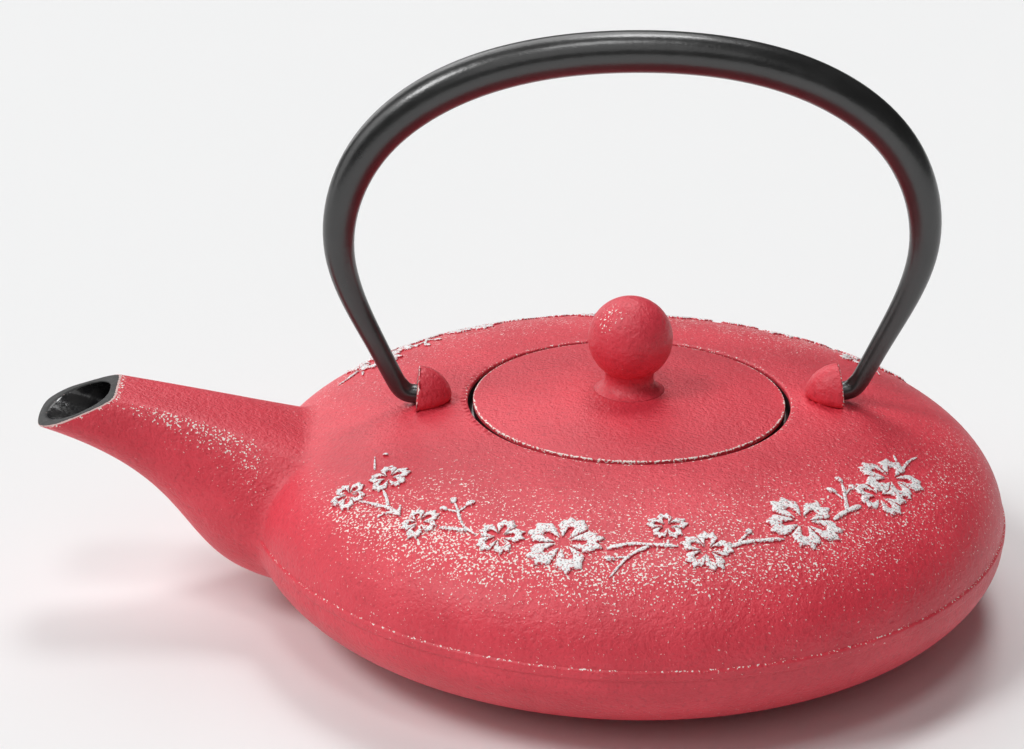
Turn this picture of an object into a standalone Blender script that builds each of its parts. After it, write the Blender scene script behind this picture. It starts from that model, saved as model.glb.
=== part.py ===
"""A low, flat cast iron teapot: pot, bail handle, lid with a round knob, and a lift-out tea infuser.

Units are metres and +Z is up. The origin is the middle of the base, on the table, and the spout
points along -X. The handle swings about a line along X through the two lugs beside the lid.
"""

import math

import bmesh
import bpy
from mathutils import Matrix, Vector

GAP = 0.0003  # between pieces that rest on each other
CLEAR = 0.004  # how far a cutter runs past the face it cuts through
MERGE = 0.00001  # points this close together are made one when a profile is turned

# Pot: two superellipses of revolution, the shoulder and the belly, meet at the widest line.
POT_RADIUS = 0.085
WIDEST_Z = 0.0201
SHOULDER_HEIGHT = 0.02814
SHOULDER_POWERS = (3.14, 2.63)
BELLY_DEPTH = 0.02082
BELLY_POWERS = (4.61, 1.62)
WALL = 0.0032
FLOOR_Z = 0.0038
FOOT_RADIUS = 0.0454
FOOT_WIDTH = 0.0044
FOOT_RECESS = 0.0008
GATE_PAD_RADIUS = 0.008
SEAM_LOW_Z = 0.0219
SEAM_HIGH_Z = 0.0241
SEAM_PROUD = 0.0003
SEAM_FALL = 0.0002  # how far the shoulder has drawn in at the seam's upper edge
MOUTH_OVERLAP = 0.001  # how far the shoulder runs on inside the mouth's edge before the mouth is cut

# Mouth of the pot: a ledge carries the infuser, and the lid sits flush with the shoulder.
MOUTH_RADIUS = 0.0362
MOUTH_TOP_Z = 0.0475
LEDGE_Z = 0.0434
LEDGE_INNER_RADIUS = 0.0320
LEDGE_THICKNESS = 0.0030
LEDGE_ROOT_RADIUS = 0.0400

# Lugs: half domes with a flat outer face, each drilled from outside for one end of the handle.
PIVOT_Z = 0.0490
PIVOT_HOLE_RADIUS = 0.00245
PIVOT_HOLE_END = 0.0425
LUG_FACE = 0.0477
LUG_LEAN = math.radians(6)
LUG_HALF_SIZE = (0.0080, 0.0059, 0.0075)
LUG_CENTRE_Z = 0.0480

# Spout: flat-topped oval sections strung between an underside curve and a top curve.
# The curves are cubic Beziers from the spout's mouth to its root, and so are the half widths.
# The outlines are right halves from the bottom to the top, as parts of the width and the height.
SPOUT_UNDERSIDE = ((-0.1313, 0.0440), (-0.0870, 0.0283), (-0.1097, 0.0074), (-0.0641, 0.0055))
SPOUT_TOP = ((-0.1133, 0.0514), (-0.0950, 0.0477), (-0.0820, 0.0434), (-0.0600, 0.0367))
SPOUT_HALF_WIDTHS = (0.0103, 0.0115, 0.0190, 0.0310)
SPOUT_MOUTH_OUTLINE = (
    (0.00, 0.000),
    (0.64, 0.035),
    (0.92, 0.150),
    (1.05, 0.330),
    (1.03, 0.550),
    (0.97, 0.780),
    (0.87, 0.930),
    (0.60, 1.000),
    (0.00, 1.000),
)
SPOUT_ROOT_OUTLINE = (
    (0.00, 0.000),
    (0.30, 0.025),
    (0.60, 0.120),
    (0.88, 0.310),
    (1.00, 0.520),
    (0.90, 0.730),
    (0.72, 0.910),
    (0.52, 1.000),
    (0.00, 1.000),
)
SPOUT_SECTIONS = 11
SPOUT_WALL = 0.0023
SPOUT_CHANNEL_OVERRUN = 0.12  # how far the channel's cutter runs past the mouth, as a part of the spout

# Lid: a crowned disc with a skirt that keeps it in place while pouring.
LID_RADIUS = 0.0350
LID_THICKNESS = 0.0027
LID_CROWN = 0.0025
LID_EDGE_ROUND = 0.0005
SKIRT_RADIUS = 0.0300
SKIRT_WIDTH = 0.0016
SKIRT_DEPTH = 0.0056
STUD_HOLE_RADIUS = 0.0028

# Knob: a ball on a waisted neck, with a stud through the lid, a washer and a nut.
BALL_RADIUS = 0.00946
BALL_Z = 0.0621
NECK_RADIUS = 0.0054
NECK_Z = 0.0528
KNOB_FOOT_RADIUS = 0.0079
STUD_RADIUS = 0.0025
STUD_END_Z = 0.0421
WASHER_RADIUS = 0.0065
WASHER_THICKNESS = 0.0008
NUT_ACROSS_FLATS = 0.0080
NUT_THICKNESS = 0.0024

# Handle: a tapering round bail. Each point is x, z and the bar's radius there, from top to foot.
HANDLE_POINTS = (
    (0.0000, 0.1276, 0.00455),
    (0.0230, 0.1255, 0.00455),
    (0.0412, 0.1194, 0.00455),
    (0.0583, 0.1051, 0.00420),
    (0.0643, 0.0827, 0.00330),
    (0.0565, 0.0610, 0.00230),
    (0.0526, 0.0528, 0.00215),
    (0.0500, 0.0494, 0.00210),
    (0.0475, 0.0490, 0.00210),
    (0.0432, 0.0490, 0.00210),
)

# Infuser: a flanged rim, a wire mesh wall and floor, and a ring that clamps them together.
FLANGE_RADIUS = 0.0354
FLANGE_THICKNESS = 0.0008
COLLAR_INNER_RADIUS = 0.0306
SHEET = 0.0005
COLLAR_END_Z = 0.0375
MESH_RADIUS = 0.0303
MESH_THICKNESS = 0.0004
MESH_TOP_Z = 0.0386
INFUSER_BOTTOM_Z = 0.0086
BOTTOM_RING_HEIGHT = 0.0036
BOTTOM_FLANGE_INNER_RADIUS = 0.0275

# How finely the round shapes are divided
POT_STEPS = 60
ROUND_STEPS = 48
KNOB_STEPS = 32
PIN_STEPS = 16
LUG_STEPS = (24, 12)
NUT_SIDES = 6
OUTSIDE_CURVE_STEPS = 12
INSIDE_CURVE_STEPS = 8
LID_TOP_STEPS = 6
LID_UNDERSIDE_STEPS = 4
BALL_CURVE_STEPS = 12
FLARE_STEPS = 4


def new_collection(name):
    collection = bpy.data.collections.new(name)
    bpy.context.scene.collection.children.link(collection)
    return collection


def new_material(name, colour, roughness, metallic):
    material = bpy.data.materials.new(name)
    material.use_nodes = True
    shader = material.node_tree.nodes["Principled BSDF"]
    shader.inputs["Base Color"].default_value = (*colour, 1)
    shader.inputs["Roughness"].default_value = roughness
    shader.inputs["Metallic"].default_value = metallic
    return material


def add_part(name, data, material, location=(0, 0, 0)):
    """An object that becomes a piece of the teapot."""
    part = bpy.data.objects.new(name, data)
    part.data.materials.append(material)
    part.location = location
    parts.objects.link(part)
    return part


def add_tool(name, mesh):
    """A helper object for Booleans, which isn't a piece itself."""
    tool = bpy.data.objects.new(name, mesh)
    tool.hide_render = True
    tool.display_type = "WIRE"
    tools.objects.link(tool)
    return tool


def join(part, tool):
    change(part, tool, "UNION")


def cut(part, tool):
    change(part, tool, "DIFFERENCE")


def change(part, tool, operation):
    modifier = part.modifiers.new(f"{operation.lower()} {tool.name}", "BOOLEAN")
    modifier.operation = operation
    modifier.object = tool


def profile_mesh(name, profile, closed):
    """The mesh of a profile in the XZ plane, given as radius and height, for turning."""
    mesh = bpy.data.meshes.new(name)
    edges = [(i, i + 1) for i in range(len(profile) - 1)]
    if closed:
        edges.append((len(profile) - 1, 0))
    mesh.from_pydata([(radius, 0, z) for radius, z in profile], edges, [])
    return mesh


def turn(part, steps):
    """Turns a profile about Z. A profile runs down its outer side, and ends on the axis or closes up."""
    screw = part.modifiers.new("turn", "SCREW")
    screw.angle = math.tau
    screw.steps = steps
    screw.render_steps = steps
    screw.use_merge_vertices = True
    screw.merge_threshold = MERGE
    screw.use_smooth_shade = True


def below(profile, z):
    """The same profile with its heights counted from z."""
    return [(radius, height - z) for radius, height in profile]


def superellipse(radius, height, powers, inner_radius, steps):
    """Points from inner_radius out to the full radius, as radius and rise above the widest line."""
    end = math.acos((inner_radius / radius) ** (powers[0] / 2))
    points = []
    for i in range(steps + 1):
        angle = end * (1 - i / steps)
        across = radius * math.cos(angle) ** (2 / powers[0])
        rise = height * math.sin(angle) ** (2 / powers[1])
        points.append((across, rise))
    return points


def shoulder(inset, inner_radius, steps):
    rise = superellipse(POT_RADIUS - inset, SHOULDER_HEIGHT - inset, SHOULDER_POWERS, inner_radius, steps)
    return [(radius, WIDEST_Z + height) for radius, height in rise]


def belly(inset, depth, inner_radius, steps):
    drop = superellipse(POT_RADIUS - inset, depth, BELLY_POWERS, inner_radius, steps)
    return [(radius, WIDEST_Z - height) for radius, height in reversed(drop)]


def pot_outside():
    """The outer profile, with the raised parting seam and the shallow recess inside the foot."""
    whole = shoulder(0, MOUTH_RADIUS - MOUTH_OVERLAP, OUTSIDE_CURVE_STEPS)
    upper = [point for point in whole if point[1] > SEAM_HIGH_Z]
    seam = [
        (POT_RADIUS - SEAM_FALL, SEAM_HIGH_Z),
        (POT_RADIUS + SEAM_PROUD, SEAM_HIGH_Z - SEAM_PROUD),
        (POT_RADIUS + SEAM_PROUD, SEAM_LOW_Z + SEAM_PROUD),
        (POT_RADIUS, SEAM_LOW_Z),
    ]
    foot_inside = FOOT_RADIUS - FOOT_WIDTH
    underside = [
        (foot_inside, 0),
        (foot_inside - FOOT_RECESS, FOOT_RECESS),
        (GATE_PAD_RADIUS + FOOT_RECESS, FOOT_RECESS),
        (GATE_PAD_RADIUS, 0),
        (0, 0),
    ]
    lower = belly(0, BELLY_DEPTH, FOOT_RADIUS, OUTSIDE_CURVE_STEPS)
    return [(0, upper[0][1])] + upper + seam + lower + underside


def pot_inside():
    """The profile of the hollow, from above the mouth, past the ledge and round the chamber."""
    above_mouth = MOUTH_TOP_Z + CLEAR
    mouth = [
        (0, above_mouth),
        (MOUTH_RADIUS, above_mouth),
        (MOUTH_RADIUS, LEDGE_Z),
        (LEDGE_INNER_RADIUS, LEDGE_Z),
        (LEDGE_INNER_RADIUS, LEDGE_Z - LEDGE_THICKNESS),
        (LEDGE_ROOT_RADIUS, LEDGE_Z - LEDGE_THICKNESS),
    ]
    chamber = shoulder(WALL, LEDGE_ROOT_RADIUS + LEDGE_THICKNESS, INSIDE_CURVE_STEPS)[:-1]
    chamber += belly(WALL, WIDEST_Z - FLOOR_Z, FOOT_RADIUS, INSIDE_CURVE_STEPS)
    return mouth + chamber + [(0, FLOOR_Z)]


def blend(first, second, amount):
    return first + (second - first) * amount


def bezier(controls, t):
    """The value or point of a cubic Bezier curve at t, which may lie a little past its ends."""
    weights = [math.comb(3, i) * t**i * (1 - t) ** (3 - i) for i in range(4)]
    return sum((control * weight for control, weight in zip(controls, weights)), controls[0] * 0)


def in_plane(curve):
    """The points of a curve in the XZ plane as vectors."""
    return [Vector((x, 0, z)) for x, z in curve]


def spout_section(t, inset):
    """One closed loop of the spout at t, 0 at its mouth and 1 at its root, moved in by inset."""
    low = bezier(in_plane(SPOUT_UNDERSIDE), t)
    high = bezier(in_plane(SPOUT_TOP), t)
    upward = (high - low).normalized()
    low, high = low + upward * inset, high - upward * inset
    half_width = bezier(SPOUT_HALF_WIDTHS, t) - inset
    side = []
    for mouth, root in zip(SPOUT_MOUTH_OUTLINE, SPOUT_ROOT_OUTLINE):
        width, height = blend(mouth[0], root[0], t), blend(mouth[1], root[1], t)
        side.append(low.lerp(high, height) + Vector((0, width * half_width, 0)))
    mirrored = [Vector((point.x, -point.y, point.z)) for point in reversed(side[1:-1])]
    return side + mirrored


def loft(name, loops):
    """A closed mesh through loops that have the same number of points."""
    shape = bmesh.new()
    rings = [[shape.verts.new(point) for point in loop] for loop in loops]
    for ring, following in zip(rings, rings[1:]):
        for i in range(len(ring)):
            j = (i + 1) % len(ring)
            shape.faces.new((ring[i], ring[j], following[j], following[i]))
    shape.faces.new(reversed(rings[0]))
    shape.faces.new(rings[-1])
    bmesh.ops.recalc_face_normals(shape, faces=shape.faces)
    mesh = bpy.data.meshes.new(name)
    shape.to_mesh(mesh)
    shape.free()
    mesh.shade_smooth()
    return mesh


def spout_mesh(name, inset, overrun):
    positions = [i / (SPOUT_SECTIONS - 1) for i in range(SPOUT_SECTIONS)]
    if overrun:
        positions = [-overrun] + positions
    return loft(name, [spout_section(t, inset) for t in positions])


def lug_mesh(side):
    """A dome whose outer half is cut away by a slightly leaning plane. side is 1 at +X and -1 at -X."""
    shape = bmesh.new()
    place = Matrix.Translation((side * LUG_FACE, 0, LUG_CENTRE_Z)) @ Matrix.Diagonal((*LUG_HALF_SIZE, 1))
    around, down = LUG_STEPS
    bmesh.ops.create_uvsphere(shape, u_segments=around, v_segments=down, radius=1, matrix=place)
    cut_edges = bmesh.ops.bisect_plane(
        shape,
        geom=shape.verts[:] + shape.edges[:] + shape.faces[:],
        plane_co=(side * LUG_FACE, 0, PIVOT_Z),
        plane_no=(side * math.cos(LUG_LEAN), 0, math.sin(LUG_LEAN)),
        clear_outer=True,
    )["geom_cut"]
    bmesh.ops.holes_fill(shape, edges=[item for item in cut_edges if isinstance(item, bmesh.types.BMEdge)])
    bmesh.ops.recalc_face_normals(shape, faces=shape.faces)
    mesh = bpy.data.meshes.new("lug")
    shape.to_mesh(mesh)
    shape.free()
    mesh.shade_smooth()
    return mesh


def rod_mesh(name, radius, start, end, segments):
    """A closed cylinder between two points."""
    start, end = Vector(start), Vector(end)
    shape = bmesh.new()
    turned = (end - start).to_track_quat("Z", "Y").to_matrix().to_4x4()
    bmesh.ops.create_cone(
        shape,
        cap_ends=True,
        segments=segments,
        radius1=radius,
        radius2=radius,
        depth=(end - start).length,
        matrix=Matrix.Translation((start + end) / 2) @ turned,
    )
    mesh = bpy.data.meshes.new(name)
    shape.to_mesh(mesh)
    shape.free()
    mesh.shade_smooth()
    return mesh


def build_pot(material):
    pot = add_part("pot_body", profile_mesh("pot_body", pot_outside(), closed=False), material)
    turn(pot, POT_STEPS)
    join(pot, add_tool("spout_outside", spout_mesh("spout_outside", inset=0, overrun=0)))
    for side, name in ((-1, "lug_spout_side"), (1, "lug_back_side")):
        join(pot, add_tool(name, lug_mesh(side)))
    hollow = add_tool("hollow", profile_mesh("hollow", pot_inside(), closed=False))
    turn(hollow, POT_STEPS)
    cut(pot, hollow)
    cut(pot, add_tool("spout_channel", spout_mesh("spout_channel", SPOUT_WALL, SPOUT_CHANNEL_OVERRUN)))
    for side, name in ((-1, "pivot_hole_spout_side"), (1, "pivot_hole_back_side")):
        start = (side * PIVOT_HOLE_END, 0, PIVOT_Z)
        end = (side * (LUG_FACE + CLEAR), 0, PIVOT_Z)
        cut(pot, add_tool(name, rod_mesh(name, PIVOT_HOLE_RADIUS, start, end, PIN_STEPS)))


def lid_top(radius):
    """The height of the lid's upper face at a radius."""
    return MOUTH_TOP_Z + LID_CROWN * (1 - (radius / LID_RADIUS) ** 2)


def lid_profile():
    seat = LEDGE_Z + GAP + FLANGE_THICKNESS + GAP
    rim_radius = LID_RADIUS - LID_EDGE_ROUND
    top_radii = [blend(STUD_HOLE_RADIUS, rim_radius, i / LID_TOP_STEPS) for i in range(LID_TOP_STEPS + 1)]
    skirt_end = seat - SKIRT_DEPTH
    skirt_inside = SKIRT_RADIUS - SKIRT_WIDTH
    under_steps = [i / LID_UNDERSIDE_STEPS for i in range(LID_UNDERSIDE_STEPS + 1)]
    under_radii = [blend(skirt_inside, STUD_HOLE_RADIUS, step) for step in under_steps]
    edge = [
        (LID_RADIUS, MOUTH_TOP_Z - LID_EDGE_ROUND),
        (LID_RADIUS, seat + LID_EDGE_ROUND),
        (rim_radius, seat),
        (SKIRT_RADIUS, seat),
        (SKIRT_RADIUS, skirt_end),
        (skirt_inside, skirt_end),
    ]
    underside = [(radius, lid_top(radius) - LID_THICKNESS - GAP) for radius in under_radii]
    return [(radius, lid_top(radius)) for radius in top_radii] + edge + underside


def knob_profile():
    """The ball down to the neck, a quarter turn of flare out to the foot, and the stud."""
    neck_angle = math.acos(NECK_RADIUS / BALL_RADIUS)
    ball = [(0, BALL_Z + BALL_RADIUS)]
    for i in range(1, BALL_CURVE_STEPS + 1):
        angle = blend(math.pi / 2, -neck_angle, i / BALL_CURVE_STEPS)
        ball.append((BALL_RADIUS * math.cos(angle), BALL_Z + BALL_RADIUS * math.sin(angle)))
    foot_z = lid_top(0) + GAP
    flare = []
    for i in range(FLARE_STEPS + 1):
        angle = math.pi / 2 * i / FLARE_STEPS
        radius = blend(NECK_RADIUS, KNOB_FOOT_RADIUS, 1 - math.cos(angle))
        flare.append((radius, blend(NECK_Z, foot_z, math.sin(angle))))
    stud = [(STUD_RADIUS, foot_z), (STUD_RADIUS, STUD_END_Z), (0, STUD_END_Z)]
    return ball + flare + stud


def build_lid(material, steel):
    """The lid, knob, washer and nut, each placed under one empty that lifts them together."""
    seat = LEDGE_Z + GAP + FLANGE_THICKNESS + GAP
    lift = bpy.data.objects.new("lid_lift", None)
    lift.location = (0, 0, seat)
    parts.objects.link(lift)

    lid = add_part("lid", profile_mesh("lid", below(lid_profile(), seat), closed=True), material)
    turn(lid, ROUND_STEPS)
    knob_mesh = profile_mesh("lid_knob", below(knob_profile(), seat), closed=False)
    knob = add_part("lid_knob", knob_mesh, material)
    turn(knob, KNOB_STEPS)

    washer_top = lid_top(WASHER_RADIUS) - LID_THICKNESS - 2 * GAP
    washer_end = washer_top - WASHER_THICKNESS
    washer_profile = [
        (STUD_HOLE_RADIUS, washer_top),
        (WASHER_RADIUS, washer_top),
        (WASHER_RADIUS, washer_end),
        (STUD_HOLE_RADIUS, washer_end),
    ]
    washer_mesh = profile_mesh("knob_washer", below(washer_profile, seat), closed=True)
    washer = add_part("knob_washer", washer_mesh, steel)
    turn(washer, KNOB_STEPS)

    nut_top = washer_end - GAP - seat
    nut_end = nut_top - NUT_THICKNESS
    nut_radius = NUT_ACROSS_FLATS / math.sqrt(3)  # from its middle to a corner
    nut_mesh = rod_mesh("knob_nut", nut_radius, (0, 0, nut_end), (0, 0, nut_top), NUT_SIDES)
    nut = add_part("knob_nut", nut_mesh, steel)
    hole_start, hole_end = (0, 0, nut_end - CLEAR), (0, 0, nut_top + CLEAR)
    thread = add_tool("nut_hole", rod_mesh("nut_hole", STUD_HOLE_RADIUS, hole_start, hole_end, KNOB_STEPS))
    cut(nut, thread)
    for piece in (lid, knob, washer, nut, thread):
        piece.parent = lift


def build_handle(material):
    """The bail, with its origin on the line through the two pivot holes."""
    curve = bpy.data.curves.new("handle", "CURVE")
    curve.dimensions = "3D"
    curve.bevel_depth = HANDLE_POINTS[0][2]
    curve.bevel_resolution = 3
    curve.resolution_u = 5
    curve.use_fill_caps = True
    half = [Vector((x, radius, z - PIVOT_Z)) for x, z, radius in HANDLE_POINTS]
    points = [Vector((-point.x, point.y, point.z)) for point in reversed(half[1:])] + half
    spline = curve.splines.new("BEZIER")
    spline.radius_interpolation = "CARDINAL"
    spline.bezier_points.add(len(points) - 1)
    for target, (x, radius, z) in zip(spline.bezier_points, points):
        target.co = (x, 0, z)
        target.radius = radius / curve.bevel_depth
        target.handle_left_type = "AUTO"
        target.handle_right_type = "AUTO"
    add_part("handle", curve, material, location=(0, 0, PIVOT_Z))


def build_infuser(steel, mesh_steel):
    """The basket that hangs in the mouth from its flange, under one empty that lifts it."""
    seat = LEDGE_Z + GAP
    lift = bpy.data.objects.new("infuser_lift", None)
    lift.location = (0, 0, seat)
    parts.objects.link(lift)

    collar_outside = COLLAR_INNER_RADIUS + SHEET
    flange_top = seat + FLANGE_THICKNESS
    rim = [
        (COLLAR_INNER_RADIUS, flange_top),
        (FLANGE_RADIUS, flange_top),
        (FLANGE_RADIUS, seat),
        (collar_outside, seat),
        (collar_outside, COLLAR_END_Z),
        (COLLAR_INNER_RADIUS, COLLAR_END_Z),
    ]
    floor_top = INFUSER_BOTTOM_Z + SHEET + GAP + MESH_THICKNESS
    mesh_inside = MESH_RADIUS - MESH_THICKNESS
    wall = [
        (MESH_RADIUS, MESH_TOP_Z),
        (MESH_RADIUS, floor_top + GAP),
        (mesh_inside, floor_top + GAP),
        (mesh_inside, MESH_TOP_Z),
    ]
    floor_end = floor_top - MESH_THICKNESS
    floor = [(0, floor_top), (MESH_RADIUS, floor_top), (MESH_RADIUS, floor_end), (0, floor_end)]
    ring = [
        (collar_outside, INFUSER_BOTTOM_Z + BOTTOM_RING_HEIGHT),
        (collar_outside, INFUSER_BOTTOM_Z),
        (BOTTOM_FLANGE_INNER_RADIUS, INFUSER_BOTTOM_Z),
        (BOTTOM_FLANGE_INNER_RADIUS, INFUSER_BOTTOM_Z + SHEET),
        (COLLAR_INNER_RADIUS, INFUSER_BOTTOM_Z + SHEET),
        (COLLAR_INNER_RADIUS, INFUSER_BOTTOM_Z + BOTTOM_RING_HEIGHT),
    ]
    for name, profile, closed, material in (
        ("infuser_rim", rim, True, steel),
        ("infuser_wall", wall, True, mesh_steel),
        ("infuser_floor", floor, False, mesh_steel),
        ("infuser_bottom_ring", ring, True, steel),
    ):
        piece = add_part(name, profile_mesh(name, below(profile, seat), closed), material)
        turn(piece, ROUND_STEPS)
        piece.parent = lift


for old_object in list(bpy.data.objects):
    bpy.data.objects.remove(old_object)
parts = new_collection("cast_iron_teapot")
tools = new_collection("tools")

red_enamel = new_material("red_enamel", (0.62, 0.06, 0.09), 0.55, 0)
black_enamel = new_material("black_enamel", (0.02, 0.02, 0.02), 0.35, 0)
stainless = new_material("stainless_steel", (0.62, 0.62, 0.60), 0.3, 1)
wire_mesh = new_material("stainless_mesh", (0.50, 0.50, 0.49), 0.45, 1)

build_pot(red_enamel)
build_lid(red_enamel, stainless)
build_handle(black_enamel)
build_infuser(stainless, wire_mesh)
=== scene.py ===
import math
import random
from contextlib import contextmanager

import bmesh
import bpy
import numpy as np
from mathutils import Matrix, Vector
from mathutils.bvhtree import BVHTree


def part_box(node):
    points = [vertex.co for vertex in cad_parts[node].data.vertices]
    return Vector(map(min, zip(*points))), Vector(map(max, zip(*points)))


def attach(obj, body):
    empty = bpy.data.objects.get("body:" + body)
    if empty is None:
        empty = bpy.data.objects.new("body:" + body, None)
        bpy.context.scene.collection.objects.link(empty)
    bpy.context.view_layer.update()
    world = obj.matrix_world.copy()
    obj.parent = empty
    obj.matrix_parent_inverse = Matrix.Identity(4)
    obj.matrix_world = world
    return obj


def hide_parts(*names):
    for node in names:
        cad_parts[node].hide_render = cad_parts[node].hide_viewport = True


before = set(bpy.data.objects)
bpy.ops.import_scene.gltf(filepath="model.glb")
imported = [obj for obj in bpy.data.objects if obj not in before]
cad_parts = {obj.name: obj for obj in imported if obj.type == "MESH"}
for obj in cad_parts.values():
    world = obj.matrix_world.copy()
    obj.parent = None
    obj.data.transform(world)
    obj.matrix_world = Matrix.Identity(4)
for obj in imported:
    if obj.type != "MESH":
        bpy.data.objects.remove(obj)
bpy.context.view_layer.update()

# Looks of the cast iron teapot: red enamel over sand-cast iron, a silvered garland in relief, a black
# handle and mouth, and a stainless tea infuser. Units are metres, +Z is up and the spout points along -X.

MM = 0.001

# Meshing
PROFILE_STEP = 0.0008  # spacing of points along a turned outline
ON_AXIS = 1e-7  # radii below this count as on the axis
SLIVER = 0.00004  # edges shorter than this are closed up
TOUCHING = 2e-6  # points this near a surface count as on it
INSIDE_WALL = 0.0006  # points deeper than this belong to no fillet
FLATTEST_SLOPE = 0.05  # two surfaces that face each other more than this get no fillet

# Pot
POT_RADIUS = 0.085
WIDEST_Z = 0.0201
SHOULDER_HEIGHT = 0.02814
SHOULDER_POWERS = (3.14, 2.63)
BELLY_DEPTH = 0.02082
BELLY_POWERS = (4.61, 1.62)
WALL = 0.0032
FLOOR_Z = 0.0038
FOOT_RADIUS = 0.0454
FOOT_WIDTH = 0.0044
FOOT_RECESS = 0.0008
GATE_PAD_RADIUS = 0.008
SEAM_LOW_Z = 0.0219
SEAM_HIGH_Z = 0.0241
SEAM_PROUD = 0.0003
MOUTH_RADIUS = 0.0362
MOUTH_TOP_Z = 0.0475
MOUTH_EDGE_ROUND = 0.0005
RED_MOUTH_DEPTH = 0.0010
LEDGE_Z = 0.0434
LEDGE_INNER_RADIUS = 0.0320
LEDGE_THICKNESS = 0.0030
LEDGE_ROOT_RADIUS = 0.0400

# Lugs and the line the handle swings about
PIVOT_Z = 0.0490
PIVOT_HOLE_RADIUS = 0.00245
PIVOT_HOLE_END = 0.0425
LUG_FACE = 0.0477
LUG_LEAN = math.radians(6)
LUG_HALF_SIZE = (0.0080, 0.0059, 0.0075)
LUG_CENTRE_Z = 0.0480
LUG_EDGE_ROUND = 0.00035

# Spout: cubic Beziers from its mouth to its root, and the outlines of its two ends
SPOUT_UNDERSIDE = ((-0.1322, 0.0447), (-0.0870, 0.0283), (-0.1097, 0.0074), (-0.0641, 0.0055))
SPOUT_TOP = ((-0.1142, 0.0513), (-0.0950, 0.0477), (-0.0820, 0.0434), (-0.0600, 0.0367))
SPOUT_HALF_WIDTHS = (0.0103, 0.0115, 0.0190, 0.0310)
SPOUT_MOUTH_OUTLINE = (
    (0.00, 0.000),
    (0.64, 0.035),
    (0.92, 0.150),
    (1.05, 0.330),
    (1.00, 0.550),
    (0.92, 0.770),
    (0.84, 0.885),
    (0.75, 0.960),
    (0.62, 0.993),
    (0.34, 1.000),
    (0.00, 1.000),
)
SPOUT_ROOT_OUTLINE = (
    (0.00, 0.000),
    (0.30, 0.025),
    (0.60, 0.120),
    (0.88, 0.310),
    (1.00, 0.520),
    (0.90, 0.730),
    (0.82, 0.830),
    (0.72, 0.910),
    (0.60, 0.965),
    (0.32, 0.998),
    (0.00, 1.000),
)
SPOUT_WALL = 0.0020
CHANNEL_OVAL = 0.8
SPOUT_LIP_ROUND = 0.0006
SPOUT_SECTIONS = 70
SPOUT_RUN = 0.098  # about how far the spout goes for each unit of t near its mouth
SPOUT_FILLET = 0.0015
LUG_FILLET = 0.0022

# Painted and brushed areas
SPOUT_ROOT_X = -0.078  # the spout begins here
LIP_END_X = -0.108  # the spout's mouth lies beyond this
LIP_DEPTH = 0.0003  # how far the lip's grey reaches behind the mouth's plane
LIP_EDGE = (0.00005, 0.0009)  # where the red edge behind the lip is worn to pale
POT_MOUTH_X = -0.05  # the pot's own mouth lies on this side
SPOUT_SKIN = 0.0012  # points this near the spout's skin belong to it
BODY_SKIN = 0.0015  # but not those this near the body's
ON_SKIN = 2e-5  # points this near the outer skin lie on it
LUG_BOX = ((0.0385, 0.0500), 0.0085, 0.0475)  # from and to along X, half the width, lowest z
LUG_RIM = 0.0005  # how far the worn edge of a lug reaches

# The crease round the spout's root: its distance from the pot's axis, its reach and half its turn
CREASE_RADIUS = 0.082
CREASE_REACH = 0.006
CREASE_TURN = math.radians(30)
BELT_RADIUS = 0.0738  # where the belt of brushed paint runs round the shoulder

# Lid and knob
LID_RADIUS = 0.0350
LID_THICKNESS = 0.0027
LID_CROWN = 0.0025
LID_EDGE_ROUND = 0.0005
LID_SEAT_Z = 0.0448
RED_EDGE_DEPTH = 0.0012
SKIRT_RADIUS = 0.0300
SKIRT_WIDTH = 0.0016
SKIRT_DEPTH = 0.0056
STUD_HOLE_RADIUS = 0.0028
BALL_RADIUS = 0.00946
BALL_Z = 0.0621
NECK_RADIUS = 0.0054
NECK_Z = 0.0528
KNOB_FOOT_RADIUS = 0.0079
KNOB_GAP = 0.0002
# the knob ball's lit upper-left side, where pale flecks paint its highlight
KNOB_HIGHLIGHT_SIDE = (-0.55, -0.45, 0.70)
FLARE_END = math.radians(62)
STUD_RADIUS = 0.0025
STUD_END_Z = 0.0421
NUT_CHAMFER = 0.00035
NUT_FACE = 0.96
THREAD_BITE = 0.00015
THREAD_DEPTH = 0.00012
THREAD_TURNS = 8

# Handle: x, z and the bar's radius, from the top of the bail to its foot
HANDLE_POINTS = (
    (0.0000, 0.1276, 0.00455),
    (0.0230, 0.1255, 0.00455),
    (0.0412, 0.1194, 0.00455),
    (0.0583, 0.1051, 0.00420),
    (0.0643, 0.0827, 0.00330),
    (0.0565, 0.0610, 0.00230),
    (0.0526, 0.0528, 0.00215),
    (0.0500, 0.0494, 0.00210),
    (0.0475, 0.0490, 0.00210),
    (0.0432, 0.0490, 0.00210),
)
HANDLE_STEPS = 12
HANDLE_SIDES = 40
NUB_PLACE = (0.0499, 0.0515)
NUB_HEIGHT = 0.00045
NUB_REACH = 0.0011

# Infuser: woven stainless wire between a flanged rim and a bottom ring
WIRE_RADIUS = 0.00013
WEAVE_PITCH = 0.00125
WALL_CLOTH_INSET = 0.0002
FLOOR_CLOTH_INSET = 0.0003
COLLAR_INSIDE = 0.0306
SHEET = 0.0005
FLANGE = 0.0008
RING_INSIDE = 0.0275

# The garland. Flowers: bearing in degrees, distance from the pot's axis, radius, turn of the first petal.
FLOWERS = (
    (-117.2, 0.0675, 0.0050, 20),
    (-105.9, 0.0664, 0.0084, 8),
    (-87.0, 0.0603, 0.0043, 18),
    (-80.9, 0.0677, 0.0057, -2),
    (-60.5, 0.0644, 0.0082, 25),
    (-33.5, 0.0641, 0.0074, 22),
    (-41.0, 0.0658, 0.0060, 35),
    (-150.1, 0.0716, 0.0043, 30),
    (-148.0, 0.0632, 0.0047, 4),
    (-132.7, 0.0696, 0.0043, 0),
)
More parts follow.
